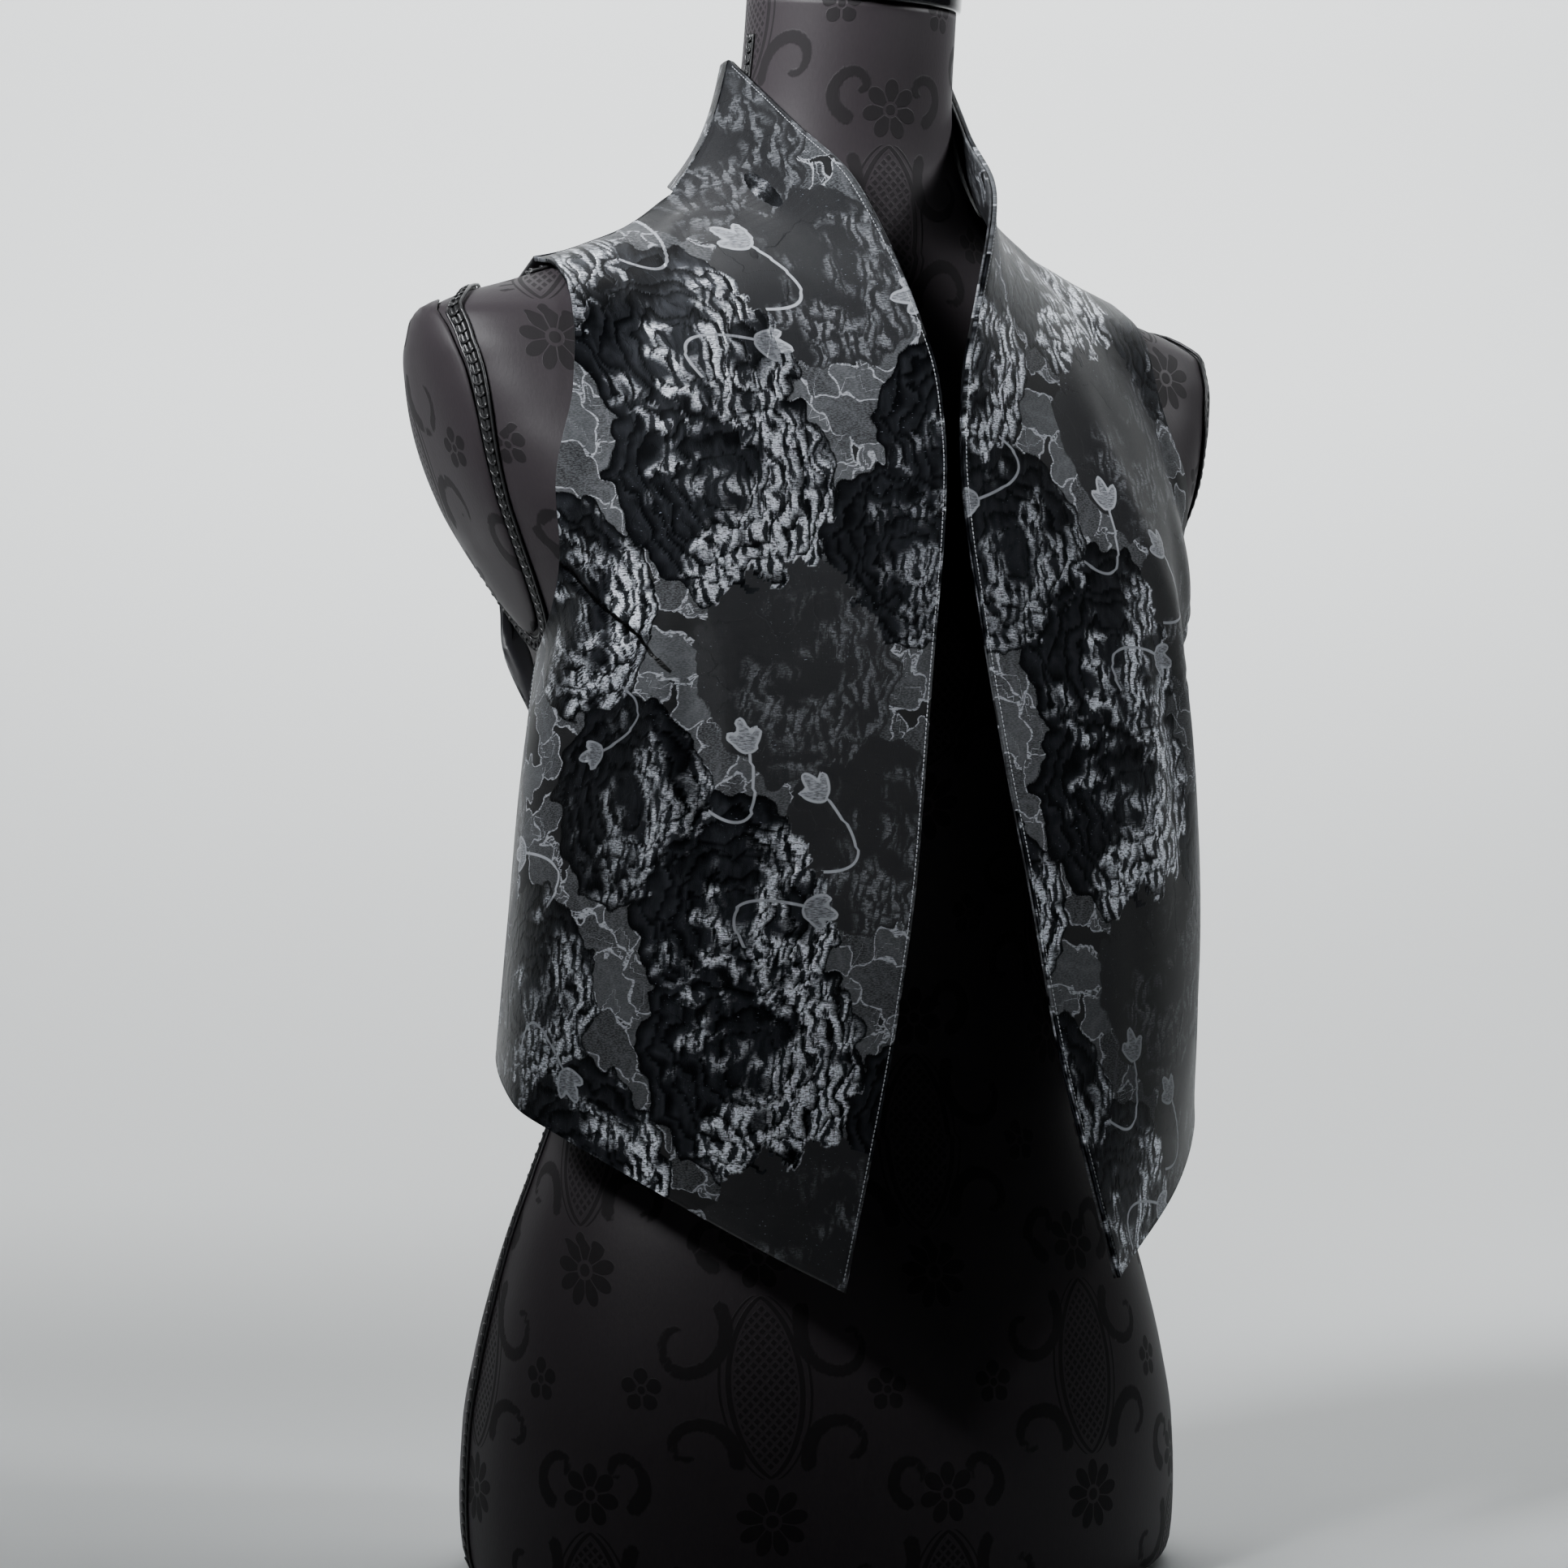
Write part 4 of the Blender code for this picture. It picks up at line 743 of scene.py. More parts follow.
def brocade_fields(x, y):
    """Signed distances (mm, inside positive) and tones of the woven design at cloth points x, y, with the painted
    highlight of each bloom.
    """
    x, y = x.ravel(), y.ravel()
    wob = 1.6 * shade_noise(x, y, 14.0, 3)
    wx, wy = x + wob, y + 1.6 * shade_noise(x, y, 12.0, 5)
    bloom, petal, rib, painted_shine = np.full(x.shape, -9.0), np.zeros(x.shape), np.zeros(x.shape), np.zeros(x.shape)
    leaf, vein, line, line_on = np.full(x.shape, -9.0), np.zeros(x.shape), np.full(x.shape, 9.0), np.zeros(x.shape)

    def tiles(cx, cy, reach, plain=False):
        gx, gy = (x, y) if plain else (wx, wy)
        for i in range(int(np.floor((wx.min() - cx - reach) / REPEAT_X)), int(np.ceil((wx.max() - cx + reach) / REPEAT_X)) + 1):
            for j in range(int(np.floor((wy.min() - cy - reach) / REPEAT_Y)), int(np.ceil((wy.max() - cy + reach) / REPEAT_Y)) + 1):
                dx, dy = gx - cx - i * REPEAT_X, gy - cy - j * REPEAT_Y
                near = np.flatnonzero((np.abs(dx) < reach) & (np.abs(dy) < reach))
                if len(near):
                    yield near, dx[near], dy[near]

    hue, outline = np.zeros(x.shape), np.full(x.shape, -9.0)
    for cx, cy, long, wide, a, own in LEAVES:
        for near, dx, dy in tiles(cx, cy, long + 6):
            s, t = (dx * np.cos(a) + dy * np.sin(a)) / long, -dx * np.sin(a) + dy * np.cos(a)
            half = wide * np.sqrt(np.clip(1 - s * s, 0, 1)) * (1 - 0.34 * s) * (0.86 + 0.30 * np.abs(np.sin(4.4 * s + own)))
            d = np.minimum(half - np.abs(t), (1 - np.abs(s)) * long * 0.8)
            top = d > 0
            veins = np.maximum(bell(t / 0.8), 0.55 * bell(((s * long * 0.8 - np.abs(t) * 0.9) % 4.8 - 2.4) / 0.8))
            vein[near] = np.where(top, veins, vein[near])
            hue[near] = np.where(top, np.clip(1.05 * own**1.4 + 0.34 * s, 0, 1), hue[near])
            outline[near] = np.where(top | (-d < np.abs(outline[near])), d, outline[near])
            leaf[near] = np.where(top, np.minimum(d, 6.0), np.maximum(leaf[near], d))
    for path in VINES:
        mid = path.mean(axis=0)
        for near, dx, dy in tiles(mid[0], mid[1], 34.0, True):
            spot = np.stack([dx, dy], axis=1)
            d, hand, past = np.full(len(near), 99.0), np.ones(len(near)), np.zeros(len(near))
            for k, (p, q) in enumerate(zip(path[:-1] - mid, path[1:] - mid)):
                way = q - p
                raw = ((spot - p) @ way) / max(float(way @ way), 1e-9)
                s = np.clip(raw, 0, 1)
                here = np.linalg.norm(spot - p - s[:, None] * way, axis=1)
                nearer = here < d
                cross = way[0] * (spot[:, 1] - p[1]) - way[1] * (spot[:, 0] - p[0])
                hand = np.where(nearer, np.where(cross < 0, -1.0, 1.0), hand)
                ends = (raw < 0) if k == 0 else ((raw > 1) if k == len(path) - 2 else np.zeros(len(near), bool))
                past = np.where(nearer, ends * 1.0, past)
                d = np.minimum(d, here)
            closer = d < np.abs(line[near])
            line[near] = np.where(closer, d * hand, line[near])
            line_on[near] = np.where(closer, (d < 4.0) * (1 - past), line_on[near])
    calm = np.zeros(x.shape)
    for cx, cy, radius, turn, bright in BLOOMS:
        for near, dx, dy in tiles(cx, cy, radius * 1.3):
            dx, dy = dx * 1.04 + 1.7 * shade_noise(dx, dy, 27.0, 31), dy * 0.93 + 1.9 * shade_noise(dx, dy, 25.0, 37)
            r, a = np.hypot(dx, dy), np.arctan2(dy, dx)
            best, tone = np.full(len(near), -9.0), np.zeros(len(near))
            for k, (count, out, size) in enumerate(PETALS):
                step = 2 * np.pi / count
                local = (a - turn * (k + 1) * 1.7 + 0.5 * step) % step - 0.5 * step
                px, py = r * np.cos(local) - radius * out, r * np.sin(local)
                wide = radius * size * (1.0 + 0.10 * np.cos(6 * np.arctan2(py, px)))
                d = wide - np.hypot(px * 1.0, py * 0.86)
                over = d > 0
                tone = np.where(over, np.clip(d / (0.62 * radius * size), 0, 1), tone)
                best = np.maximum(best, d)
            best = np.maximum(best, radius * 0.72 - r)
            strokes = np.sin(2 * np.pi * (dx + 0.9 * shade_noise(dx, dy, 13.0, int(cy) + 7)) / 4.6)
            rings = np.sin(2 * np.pi * r / 9.5 + 0.9 * np.sin(a * 5 + turn))
            ribs = 0.68 * strokes + 0.32 * rings
            # painted highlight: each bloom is coloured lighter towards its lower-left side and in noisy patches, where
            # the lamps would shine on its silver thread
            side = (-0.72 * dx - 0.55 * dy) / radius
            patch = 0.55 * shade_noise(dx, dy, 30.0, int(cx) + 2) + 0.30 * shade_noise(dx, dy, 11.0, int(cx) + 9)
            painted_highlight = np.clip((side * 1.0 + patch + 0.04) * 1.8, 0, 1) * bright
            over = best > bloom[near]
            for field, new in ((petal, tone), (rib, ribs), (painted_shine, painted_highlight), (calm, np.full(len(near), float(bright < 0.2))), (bloom, np.minimum(best, 9.0))):
                field[near] = np.where(over, new, field[near])
    bud = np.full(x.shape, -9.0)
    for cx, cy, radius, a in BUDS:
        for near, dx, dy in tiles(cx, cy, radius * 1.6 + 3, True):
            s, t = dx * np.cos(a) + dy * np.sin(a), -dx * np.sin(a) + dy * np.cos(a)
            for turn, long, wide in ((0.0, 1.15, 0.30), (0.62, 0.90, 0.25), (-0.62, 0.90, 0.25)):
                ps, pt = s * np.cos(turn) + t * np.sin(turn), -s * np.sin(turn) + t * np.cos(turn)
                q = np.clip(ps / (radius * long * 1.35), 0, 1)
                d = np.minimum(radius * wide * np.sqrt(np.clip(q * (1 - q) * 4, 0, 1)) * (1.12 - 0.3 * q) - np.abs(pt), np.where(ps > 0, 4.0, ps)) - np.maximum(ps - radius * long * 1.35, 0.0)
                bud[near] = np.maximum(bud[near], d)
    return {"bloom": bloom, "petal": petal, "rib": rib, "painted_shine": painted_shine, "leaf": leaf, "outline": outline, "vein": vein, "vine": line, "vine_on": line_on, "bud": bud, "hue": hue, "calm": calm}


DAMASK_X, DAMASK_Y = 154.0, 196.0


def damask_fields(x, y):
    """Signed distance of a scrolled damask; its trellis patches and small flowers are drawn in the material."""
    x, y = x + 1.5 * shade_noise(x, y, 70.0, 11), y + 2.0 * shade_noise(x, y, 80.0, 13)
    best = np.full(x.shape, -9.0)
    for ox, oy, flip in ((0.0, 0.0, 1.0), (77.0, 98.0, -1.0)):
        dx = ((x - ox + DAMASK_X / 2) % DAMASK_X - DAMASK_X / 2) * flip
        dy = (y - oy + DAMASK_Y / 2) % DAMASK_Y - DAMASK_Y / 2
        for sign in (1.0, -1.0):
            ax = sign * dx
            # scrolls either side, thinner towards the eye
            for cx, cy, size, start, way in ((34.0, 20.0, 20.0, 2.6, 1.0), (31.0, -26.0, 17.0, 3.4, -1.0), (14.0, 60.0, 13.0, -1.2, 1.0)):
                turn = np.linspace(0, 1, 46)
                a, r = start + way * turn * 4.9, size * (1 - 0.86 * turn)
                px, py = cx + r * np.cos(a), cy + r * np.sin(a)
                for k in range(0, 46, 1):
                    d = (3.4 - 2.0 * turn[k]) - np.hypot(ax - px[k], dy - py[k])
                    best = np.maximum(best, d)
    return best


# ---------- materials ----------


class Nodes:
    """Small helper for node trees."""

    def __init__(self, name, **sockets):
        self.mat = bpy.data.materials.new(name)
        self.mat.use_nodes = True
        self.tree = self.mat.node_tree
        self.shader = self.tree.nodes["Principled BSDF"]
        for key, value in sockets.items():
            self.shader.inputs[key.replace("_", " ")].default_value = value

    def add(self, kind, **settings):
        node = self.tree.nodes.new(kind)
        for key, value in settings.items():
            setattr(node, key, value)
        return node

    def link(self, a, b):
        self.tree.links.new(a, b)

    def field(self, name):
        return self.add("ShaderNodeAttribute", attribute_name=name).outputs["Fac"]

    def math(self, operation, a, b=0.0, clamp=False):
        node = self.add("ShaderNodeMath", operation=operation, use_clamp=clamp)
        for socket, value in zip(node.inputs, (a, b)):
            if isinstance(value, (int, float)):
                socket.default_value = value
            else:
                self.link(value, socket)
        return node.outputs[0]

    def over(self, value, low, high):
        """0 below low, 1 above high."""
        node = self.add("ShaderNodeMapRange", interpolation_type="SMOOTHSTEP")
        self.link(value, node.inputs["Value"])
        node.inputs["From Min"].default_value, node.inputs["From Max"].default_value = low, high
        return node.outputs["Result"]

    def mix(self, share, a, b):
        node = self.add("ShaderNodeMix", data_type="RGBA")
        for socket, value in ((node.inputs[0], share), (node.inputs[6], a), (node.inputs[7], b)):
            if isinstance(value, tuple):
                socket.default_value = (*value, 1.0)
            elif isinstance(value, (int, float)):
                socket.default_value = value
            else:
                self.link(value, socket)
        return node.outputs[2]

    def noise(self, vector, scale, detail=3.0, rough=0.6, stretch=(1, 1, 1)):
        spread = self.add("ShaderNodeMapping")
        spread.inputs["Scale"].default_value = stretch
        self.link(vector, spread.inputs["Vector"])
        node = self.add("ShaderNodeTexNoise")
        self.link(spread.outputs[0], node.inputs["Vector"])
        node.inputs["Scale"].default_value, node.inputs["Detail"].default_value, node.inputs["Roughness"].default_value = scale, detail, rough
        return node.outputs["Fac"]

    def wave(self, vector, scale, direction, distort=0.6):
        node = self.add("ShaderNodeTexWave", bands_direction=direction)
        self.link(vector, node.inputs["Vector"])
        node.inputs["Scale"].default_value, node.inputs["Distortion"].default_value = scale, distort
        return node.outputs["Fac"]

    def bump(self, height, strength, distance):
        node = self.add("ShaderNodeBump")
        node.inputs["Strength"].default_value, node.inputs["Distance"].default_value = strength, distance
        self.link(height, node.inputs["Height"])
        self.link(node.outputs[0], self.shader.inputs["Normal"])


def brocade_material(name, painted_shade_scale=1.0):
    n = Nodes(name, Anisotropic=0.35, Sheen_Weight=0.0, Specular_IOR_Level=0.22)
    cloth = n.add("ShaderNodeAttribute", attribute_name="cloth").outputs["Vector"]
    thread = n.noise(cloth, 1.5, 3.0, 0.7, (1.0, 0.35, 1.0))
    fleck = n.noise(cloth, 0.9, 2.0, 0.6, (0.5, 2.2, 1.0))
    cloud = n.noise(cloth, 0.028, 3.0, 0.55)
    frayed = n.math("MULTIPLY", n.math("SUBTRACT", thread, 0.5), 2.2)
    bloom = n.over(n.math("ADD", n.field("bloom"), frayed), -0.3, 0.5)
    leaf = n.over(n.math("ADD", n.field("leaf"), frayed), -0.3, 0.4)
    bud = n.over(n.math("ADD", n.field("bud"), frayed), -0.3, 0.4)
    vine = n.math("SUBTRACT", 1.0, n.over(n.math("ABSOLUTE", n.field("vine")), 0.38, 0.78))
    vine = n.math("MULTIPLY", vine, n.over(n.field("vine_on"), 0.45, 0.75))
    edge = n.math("SUBTRACT", 1.0, n.over(n.math("ABSOLUTE", n.field("outline")), 0.28, 0.62))
    edge = n.math("MULTIPLY", edge, n.over(fleck, 0.36, 0.52))
    rim = n.math("SUBTRACT", 1.0, n.over(n.math("ABSOLUTE", n.field("bud")), 0.30, 0.80))
    # painted highlight of a bloom: petal tops on its lit side are coloured near-white silver, broken by ribs and flecks
    ribs = n.math("ADD", n.math("MULTIPLY", n.field("rib"), 0.5), 0.5)
    body = n.over(n.field("petal"), 0.04, 0.62)
    painted_lit = n.math("MULTIPLY", body, n.field("painted_shine"))
    dab = n.noise(cloth, 0.30, 4.0, 0.70, (1.35, 0.50, 1.0))
    broken = n.math("ADD", n.math("MULTIPLY", ribs, 0.42), n.math("MULTIPLY", dab, 0.80))
    painted_lit = n.math("MULTIPLY", painted_lit, n.math("ADD", n.math("MULTIPLY", n.over(broken, 0.50, 0.68), 1.35), 0.02))
    painted_lit = n.math("MULTIPLY", painted_lit, n.over(fleck, 0.30, 0.62), clamp=True)
    speck = n.over(n.noise(cloth, 1.0, 2.0, 0.7, (1.2, 0.8, 1.0)), 0.38, 0.60)
    painted_lit = n.math("MULTIPLY", painted_lit, n.math("ADD", n.math("MULTIPLY", speck, 0.55), 0.62), clamp=True)
    # painted glints: small spots of each bloom coloured paler silver
    painted_glint = n.math("MULTIPLY", n.over(n.noise(cloth, 0.75, 2.0, 0.7, (0.7, 1.6, 1.0)), 0.66, 0.74), n.over(cloud, 0.45, 0.62))
    ground = n.mix(cloud, (0.0045, 0.0047, 0.0053), (0.0125, 0.0127, 0.0138))
    # painted shade: the rest of a lively bloom is coloured near black at the petal edges to dark grey inside; matte
    # blooms take a charcoal tone of their own
    dark = n.mix(n.math("MULTIPLY", n.over(n.field("petal"), 0.02, 0.85), n.math("ADD", n.math("MULTIPLY", ribs, 0.5), 0.5)), (0.0010, 0.0014, 0.0022), (0.026 * painted_shade_scale, 0.028 * painted_shade_scale, 0.033 * painted_shade_scale))
    calm = n.over(n.field("calm"), 0.3, 0.7)
    dark = n.mix(calm, dark, n.mix(cloud, (0.0085, 0.0088, 0.0100), (0.0190, 0.0195, 0.0215)))
    flower = n.mix(painted_lit, dark, (0.88 * painted_shade_scale, 0.92 * painted_shade_scale, 1.0 * painted_shade_scale))
    flower = n.mix(n.math("MULTIPLY", painted_glint, 0.5), flower, (0.40 * painted_shade_scale, 0.44 * painted_shade_scale, 0.54 * painted_shade_scale))
    tint = n.mix(n.field("hue"), (0.012 * painted_shade_scale, 0.013 * painted_shade_scale, 0.015 * painted_shade_scale), (0.085 * painted_shade_scale, 0.090 * painted_shade_scale, 0.097 * painted_shade_scale))
    hatch = n.over(n.noise(cloth, 1.3, 2.0, 0.6, (0.6, 1.8, 1.0)), 0.42, 0.60)
    tint = n.mix(n.math("MULTIPLY", hatch, 0.65), n.mix(0.45, tint, (0.004, 0.004, 0.005)), (0.105 * painted_shade_scale, 0.110 * painted_shade_scale, 0.118 * painted_shade_scale))
    leafy = n.mix(n.math("MULTIPLY", n.field("vein"), 0.30), tint, (0.150 * painted_shade_scale, 0.156 * painted_shade_scale, 0.170 * painted_shade_scale))
    silver = (0.36 * painted_shade_scale, 0.375 * painted_shade_scale, 0.41 * painted_shade_scale)
    colour = n.mix(leaf, ground, leafy)
    colour = n.mix(edge, colour, silver)
    colour = n.mix(bloom, colour, flower)
    colour = n.mix(bud, colour, n.mix(n.over(fleck, 0.3, 0.7), (0.085 * painted_shade_scale, 0.089 * painted_shade_scale, 0.098 * painted_shade_scale), (0.330 * painted_shade_scale, 0.345 * painted_shade_scale, 0.375 * painted_shade_scale)))
    colour = n.mix(n.math("MULTIPLY", rim, n.math("SUBTRACT", 1.0, vine)), colour, silver)
    colour = n.mix(vine, colour, silver)
    seam = n.math("MULTIPLY", n.math("SUBTRACT", 1.0, n.over(n.math("ABSOLUTE", n.field("seam")), 0.65, 1.25)), n.over(n.field("seam_on"), 0.4, 0.8))
    colour = n.mix(seam, colour, (0.0008, 0.0008, 0.0010))
    n.link(colour, n.shader.inputs["Base Color"])
    lively = n.math("SUBTRACT", 1.0, calm)
    metal = n.math("MAXIMUM", n.math("MULTIPLY", n.math("MULTIPLY", bloom, lively), 0.90), n.math("MULTIPLY", edge, 0.1))
    n.link(metal, n.shader.inputs["Metallic"])
    rough = n.math("SUBTRACT", 0.44, n.math("MULTIPLY", bloom, 0.10))
    n.link(n.math("ADD", rough, n.math("MULTIPLY", thread, 0.10)), n.shader.inputs["Roughness"])
    relief = n.math("MULTIPLY", n.math("ADD", n.math("MULTIPLY", n.field("petal"), 0.45), n.math("ADD", n.math("MULTIPLY", n.field("rib"), 0.14), n.math("MULTIPLY", dab, 0.55))), n.math("MULTIPLY", bloom, lively))
    relief = n.math("ADD", relief, n.math("MULTIPLY", leaf, 0.3))
    weave = n.math("ADD", n.wave(cloth, 1.1, "Y", 1.2), n.math("MULTIPLY", thread, 0.9))
    n.bump(n.math("ADD", relief, n.math("MULTIPLY", weave, 0.22)), 0.85, 0.0007)
    return n.mat


def satin_material():
    n = Nodes("back_satin", Roughness=0.34, Anisotropic=0.4, Sheen_Weight=0.02, Specular_IOR_Level=0.35)
    place = n.add("ShaderNodeTexCoord").outputs["Object"]
    n.link(n.mix(n.noise(place, 30.0), (0.006, 0.006, 0.0075), (0.014, 0.014, 0.016)), n.shader.inputs["Base Color"])
    n.bump(n.math("ADD", n.wave(place, 900.0, "DIAGONAL"), n.noise(place, 1400.0)), 0.25, 0.0002)
    return n.mat


def damask_material():
    n = Nodes("form_damask", Sheen_Weight=0.03, Anisotropic=0.3, Specular_IOR_Level=0.18)
    place = n.add("ShaderNodeTexCoord").outputs["Object"]
    thread = n.noise(place, 900.0, 2.0, 0.6, (1.0, 1.0, 0.4))
    split = n.add("ShaderNodeSeparateXYZ")
    n.link(n.add("ShaderNodeAttribute", attribute_name="weft").outputs["Vector"], split.inputs[0])

    def cell(value, period, shift):
        part = n.math("FRACT", n.math("ADD", n.math("DIVIDE", n.math("SUBTRACT", value, shift), period), 0.5))
        return n.math("MULTIPLY", n.math("SUBTRACT", part, 0.5), period)

    trellis = None
    for ox, oy in ((0.0, 0.0), (0.5 * DAMASK_X, 0.5 * DAMASK_Y)):
        dx, dy = cell(split.outputs[0], DAMASK_X, ox), cell(split.outputs[1], DAMASK_Y, oy)
        high = n.math("DIVIDE", dy, 37.0)
        swell = n.math("POWER", n.math("MAXIMUM", n.math("SUBTRACT", 1.0, n.math("MULTIPLY", high, high)), 0.0), 0.7)
        rim = n.math("SUBTRACT", n.math("MULTIPLY", swell, 17.0), n.math("ABSOLUTE", dx))
        inside = n.over(n.math("SUBTRACT", 37.0, n.math("ABSOLUTE", dy)), 0.0, 0.6)
        bands = n.math("MAXIMUM", n.math("SUBTRACT", 1.0, n.over(n.math("ABSOLUTE", n.math("SUBTRACT", rim, 1.6)), 1.0, 1.4)),
                       n.math("SUBTRACT", 1.0, n.over(n.math("ABSOLUTE", n.math("ADD", rim, 2.2)), 0.4, 0.8)))
        lean = n.math("ABSOLUTE", cell(n.math("ADD", dx, dy), 4.5, 0.0))
        other = n.math("ABSOLUTE", cell(n.math("SUBTRACT", dx, dy), 4.5, 0.0))
        dots = n.math("MULTIPLY", n.math("SUBTRACT", 1.0, n.over(n.math("MAXIMUM", lean, other), 1.25, 1.60)), n.over(rim, 3.6, 4.0))
        both = n.math("MULTIPLY", n.math("MAXIMUM", bands, dots), inside)
        for cx, cy, size, count in ((0.0, 52.0, 13.0, 3.5), (0.0, -54.0, 15.0, 4.5), (52.0, -2.0, 9.0, 2.5)):
            fx = n.math("SUBTRACT", n.math("ABSOLUTE", dx) if cx else dx, cx)
            fy = n.math("SUBTRACT", dy, cy)
            r = n.math("SQRT", n.math("ADD", n.math("MULTIPLY", fx, fx), n.math("MULTIPLY", fy, fy)))
            lobe = n.math("ABSOLUTE", n.math("COSINE", n.math("MULTIPLY", n.math("ARCTAN2", fx, fy), count)))
            reach = n.math("MULTIPLY", n.math("ADD", n.math("MULTIPLY", n.math("POWER", lobe, 0.6), 0.55), 0.45), size)
            petals = n.over(n.math("SUBTRACT", reach, r), -0.3, 0.3)
            slit = n.over(n.math("SUBTRACT", lobe, n.math("DIVIDE", 1.6, n.math("MAXIMUM", r, 1.6))), -0.12, 0.02)
            heart = n.math("SUBTRACT", 1.0, n.over(r, 0.16 * size, 0.16 * size + 0.4))
            ring = n.over(r, 0.26 * size, 0.26 * size + 0.4)
            bloom = n.math("MAXIMUM", n.math("MULTIPLY", n.math("MULTIPLY", petals, ring), slit), heart)
            both = n.math("MAXIMUM", both, bloom)
        trellis = both if trellis is None else n.math("MAXIMUM", trellis, both)
    figure = n.over(n.math("ADD", n.field("damask"), n.math("MULTIPLY", n.math("SUBTRACT", thread, 0.5), 1.2)), -0.4, 0.6)
    figure = n.math("MAXIMUM", figure, trellis)
    colour = n.mix(figure, (0.0285, 0.0238, 0.0270), (0.0090, 0.0075, 0.0086))
    n.link(n.mix(n.math("MULTIPLY", thread, 0.35), colour, (0.010, 0.008, 0.010)), n.shader.inputs["Base Color"])
    n.link(n.math("ADD", n.math("MULTIPLY", figure, 0.16), 0.52), n.shader.inputs["Roughness"])
    n.bump(n.math("ADD", n.math("MULTIPLY", figure, 0.5), n.math("MULTIPLY", thread, 0.4)), 0.5, 0.0003)
    return n.mat


def plain_material(name, low, high, rough, scale, strength, coat=0.0):
    n = Nodes(name, Roughness=rough, Coat_Weight=coat)
    place = n.add("ShaderNodeTexCoord").outputs["Object"]
    grain = n.noise(place, scale)
    n.link(n.mix(grain, low, high), n.shader.inputs["Base Color"])
    n.bump(grain, strength, 0.0002)
    return n.mat


BROCADE = brocade_material("brocade")
# the facing is the same brocade, its colours scaled to 0.8 as painted shade for the inside of the opening
FACING = brocade_material("facing_brocade", 0.8)
SATIN = satin_material()
DAMASK = damask_material()
GLOSS = plain_material("cap_gloss", (0.004, 0.004, 0.0045), (0.007, 0.007, 0.008), 0.10, 60.0, 0.03, 0.6)
BRAID = plain_material("gimp_braid", (0.006, 0.006, 0.0065), (0.022, 0.022, 0.023), 0.33, 2500.0, 0.5)
THREAD = plain_material("thread", (0.10, 0.105, 0.12), (0.62, 0.65, 0.70), 0.30, 2500.0, 0.3)


# ---------- dress form ----------

low_tree = tree_of(*rings_to_solid(form_grid()))
FORM_ROUND, FORM_ROWS = 300, 230
levels = np.sort(np.concatenate([np.linspace(18.0, 692.0, FORM_ROWS - 6), [0.0, 1.2, 2.5, 4.5, 7.0, 11.0]]))
form_rows = form_grid(FORM_ROUND, levels)
form_points, form_faces = rings_to_solid(form_rows)
form_tree = tree_of(form_points, form_faces)
girth = np.linalg.norm(np.roll(form_rows, -1, axis=1) - form_rows, axis=2)
# round the form from the centre front, so that the design is even on both sides
round_at = np.concatenate([np.zeros((len(levels), 1)), np.cumsum(girth, axis=1)[:, :-1]], axis=1)
front_at = round_at[np.arange(len(levels)), np.argmin(np.where(form_rows[..., 1] < 0, np.abs(form_rows[..., 0]), 999.0), axis=1)]
weft = np.stack([(round_at - front_at[:, None]).ravel(), form_rows[..., 2].ravel(), np.zeros(round_at.size)], axis=1)
damask = damask_fields(weft[:, 0], weft[:, 1])
torso = make_mesh("form_cover", form_points, form_faces, DAMASK, {"damask": damask, "weft": weft})
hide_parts("form_torso")
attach(torso, "root")

ring = form_rows[-1]
middle, up = ring.mean(axis=0), unit(np.cross(ring[FORM_ROUND // 4] - ring[0], ring[FORM_ROUND // 2] - ring[0]))
up = up * (1 if up[2] > 0 else -1)
cap_rows = [middle + (ring - middle) * w + up * h for h, w in (
    (0.4, 0.985), (0.4, 1.02), (0.7, 1.035), (1.4, 1.043), (2.6, 1.045), (10.0, 1.045), (17.0, 1.045), (19.5, 1.040), (21.5, 1.028), (23.0, 1.005), (24.0, 0.97), (24.8, 0.90), (25.3, 0.75), (25.5, 0.6))]
cap = make_mesh("cap", *rings_to_solid(np.array(cap_rows)), GLOSS)
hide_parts("neck_cap")
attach(cap, "root")

PLATE_ROUND = 120
scales = (0.0, 0.1, 0.2, 0.3, 0.4, 0.5, 0.6, 0.7, 0.8, 0.88, 0.94, 0.98, 1.0)
plate_low, plate_out, plate_rise = [], [], []
for k, scale in enumerate(scales):
    spots, out = cast(form_tree, plate_ring(max(scale, 0.001), PLATE_ROUND if k else 1))
    plate_low.append(spots)
    plate_out.append(unit(out + np.array([1.5, 0, 0])))
    plate_rise += [PLATE_RISE * (1 - 0.35 * scale**4) * (1 - 0.5 * max(0.0, (scale - 0.94) / 0.06) ** 2)] * len(spots)
plate_low, plate_out, plate_rise = np.concatenate(plate_low), np.concatenate(plate_out), np.array(plate_rise)[:, None]
plate_low = plate_low + plate_out * PLATE_GAP
half = len(plate_low)
plate_faces = []
for base, way in ((0, 1), (half, -1)):
    for j in range(PLATE_ROUND):
        m = (j + 1) % PLATE_ROUND
        plate_faces.append([base, base + 1 + j, base + 1 + m][::way])
        for k in range(len(scales) - 2):
            a = base + 1 + k * PLATE_ROUND
            plate_faces.append([a + j, a + PLATE_ROUND + j, a + PLATE_ROUND + m, a + m][::way])
last = 1 + PLATE_ROUND * (len(scales) - 2)
plate_faces += [[last + j, half + last + j, half + last + (j + 1) % PLATE_ROUND, last + (j + 1) % PLATE_ROUND] for j in range(PLATE_ROUND)]
plate_points = np.concatenate([plate_low + plate_out * plate_rise, plate_low])
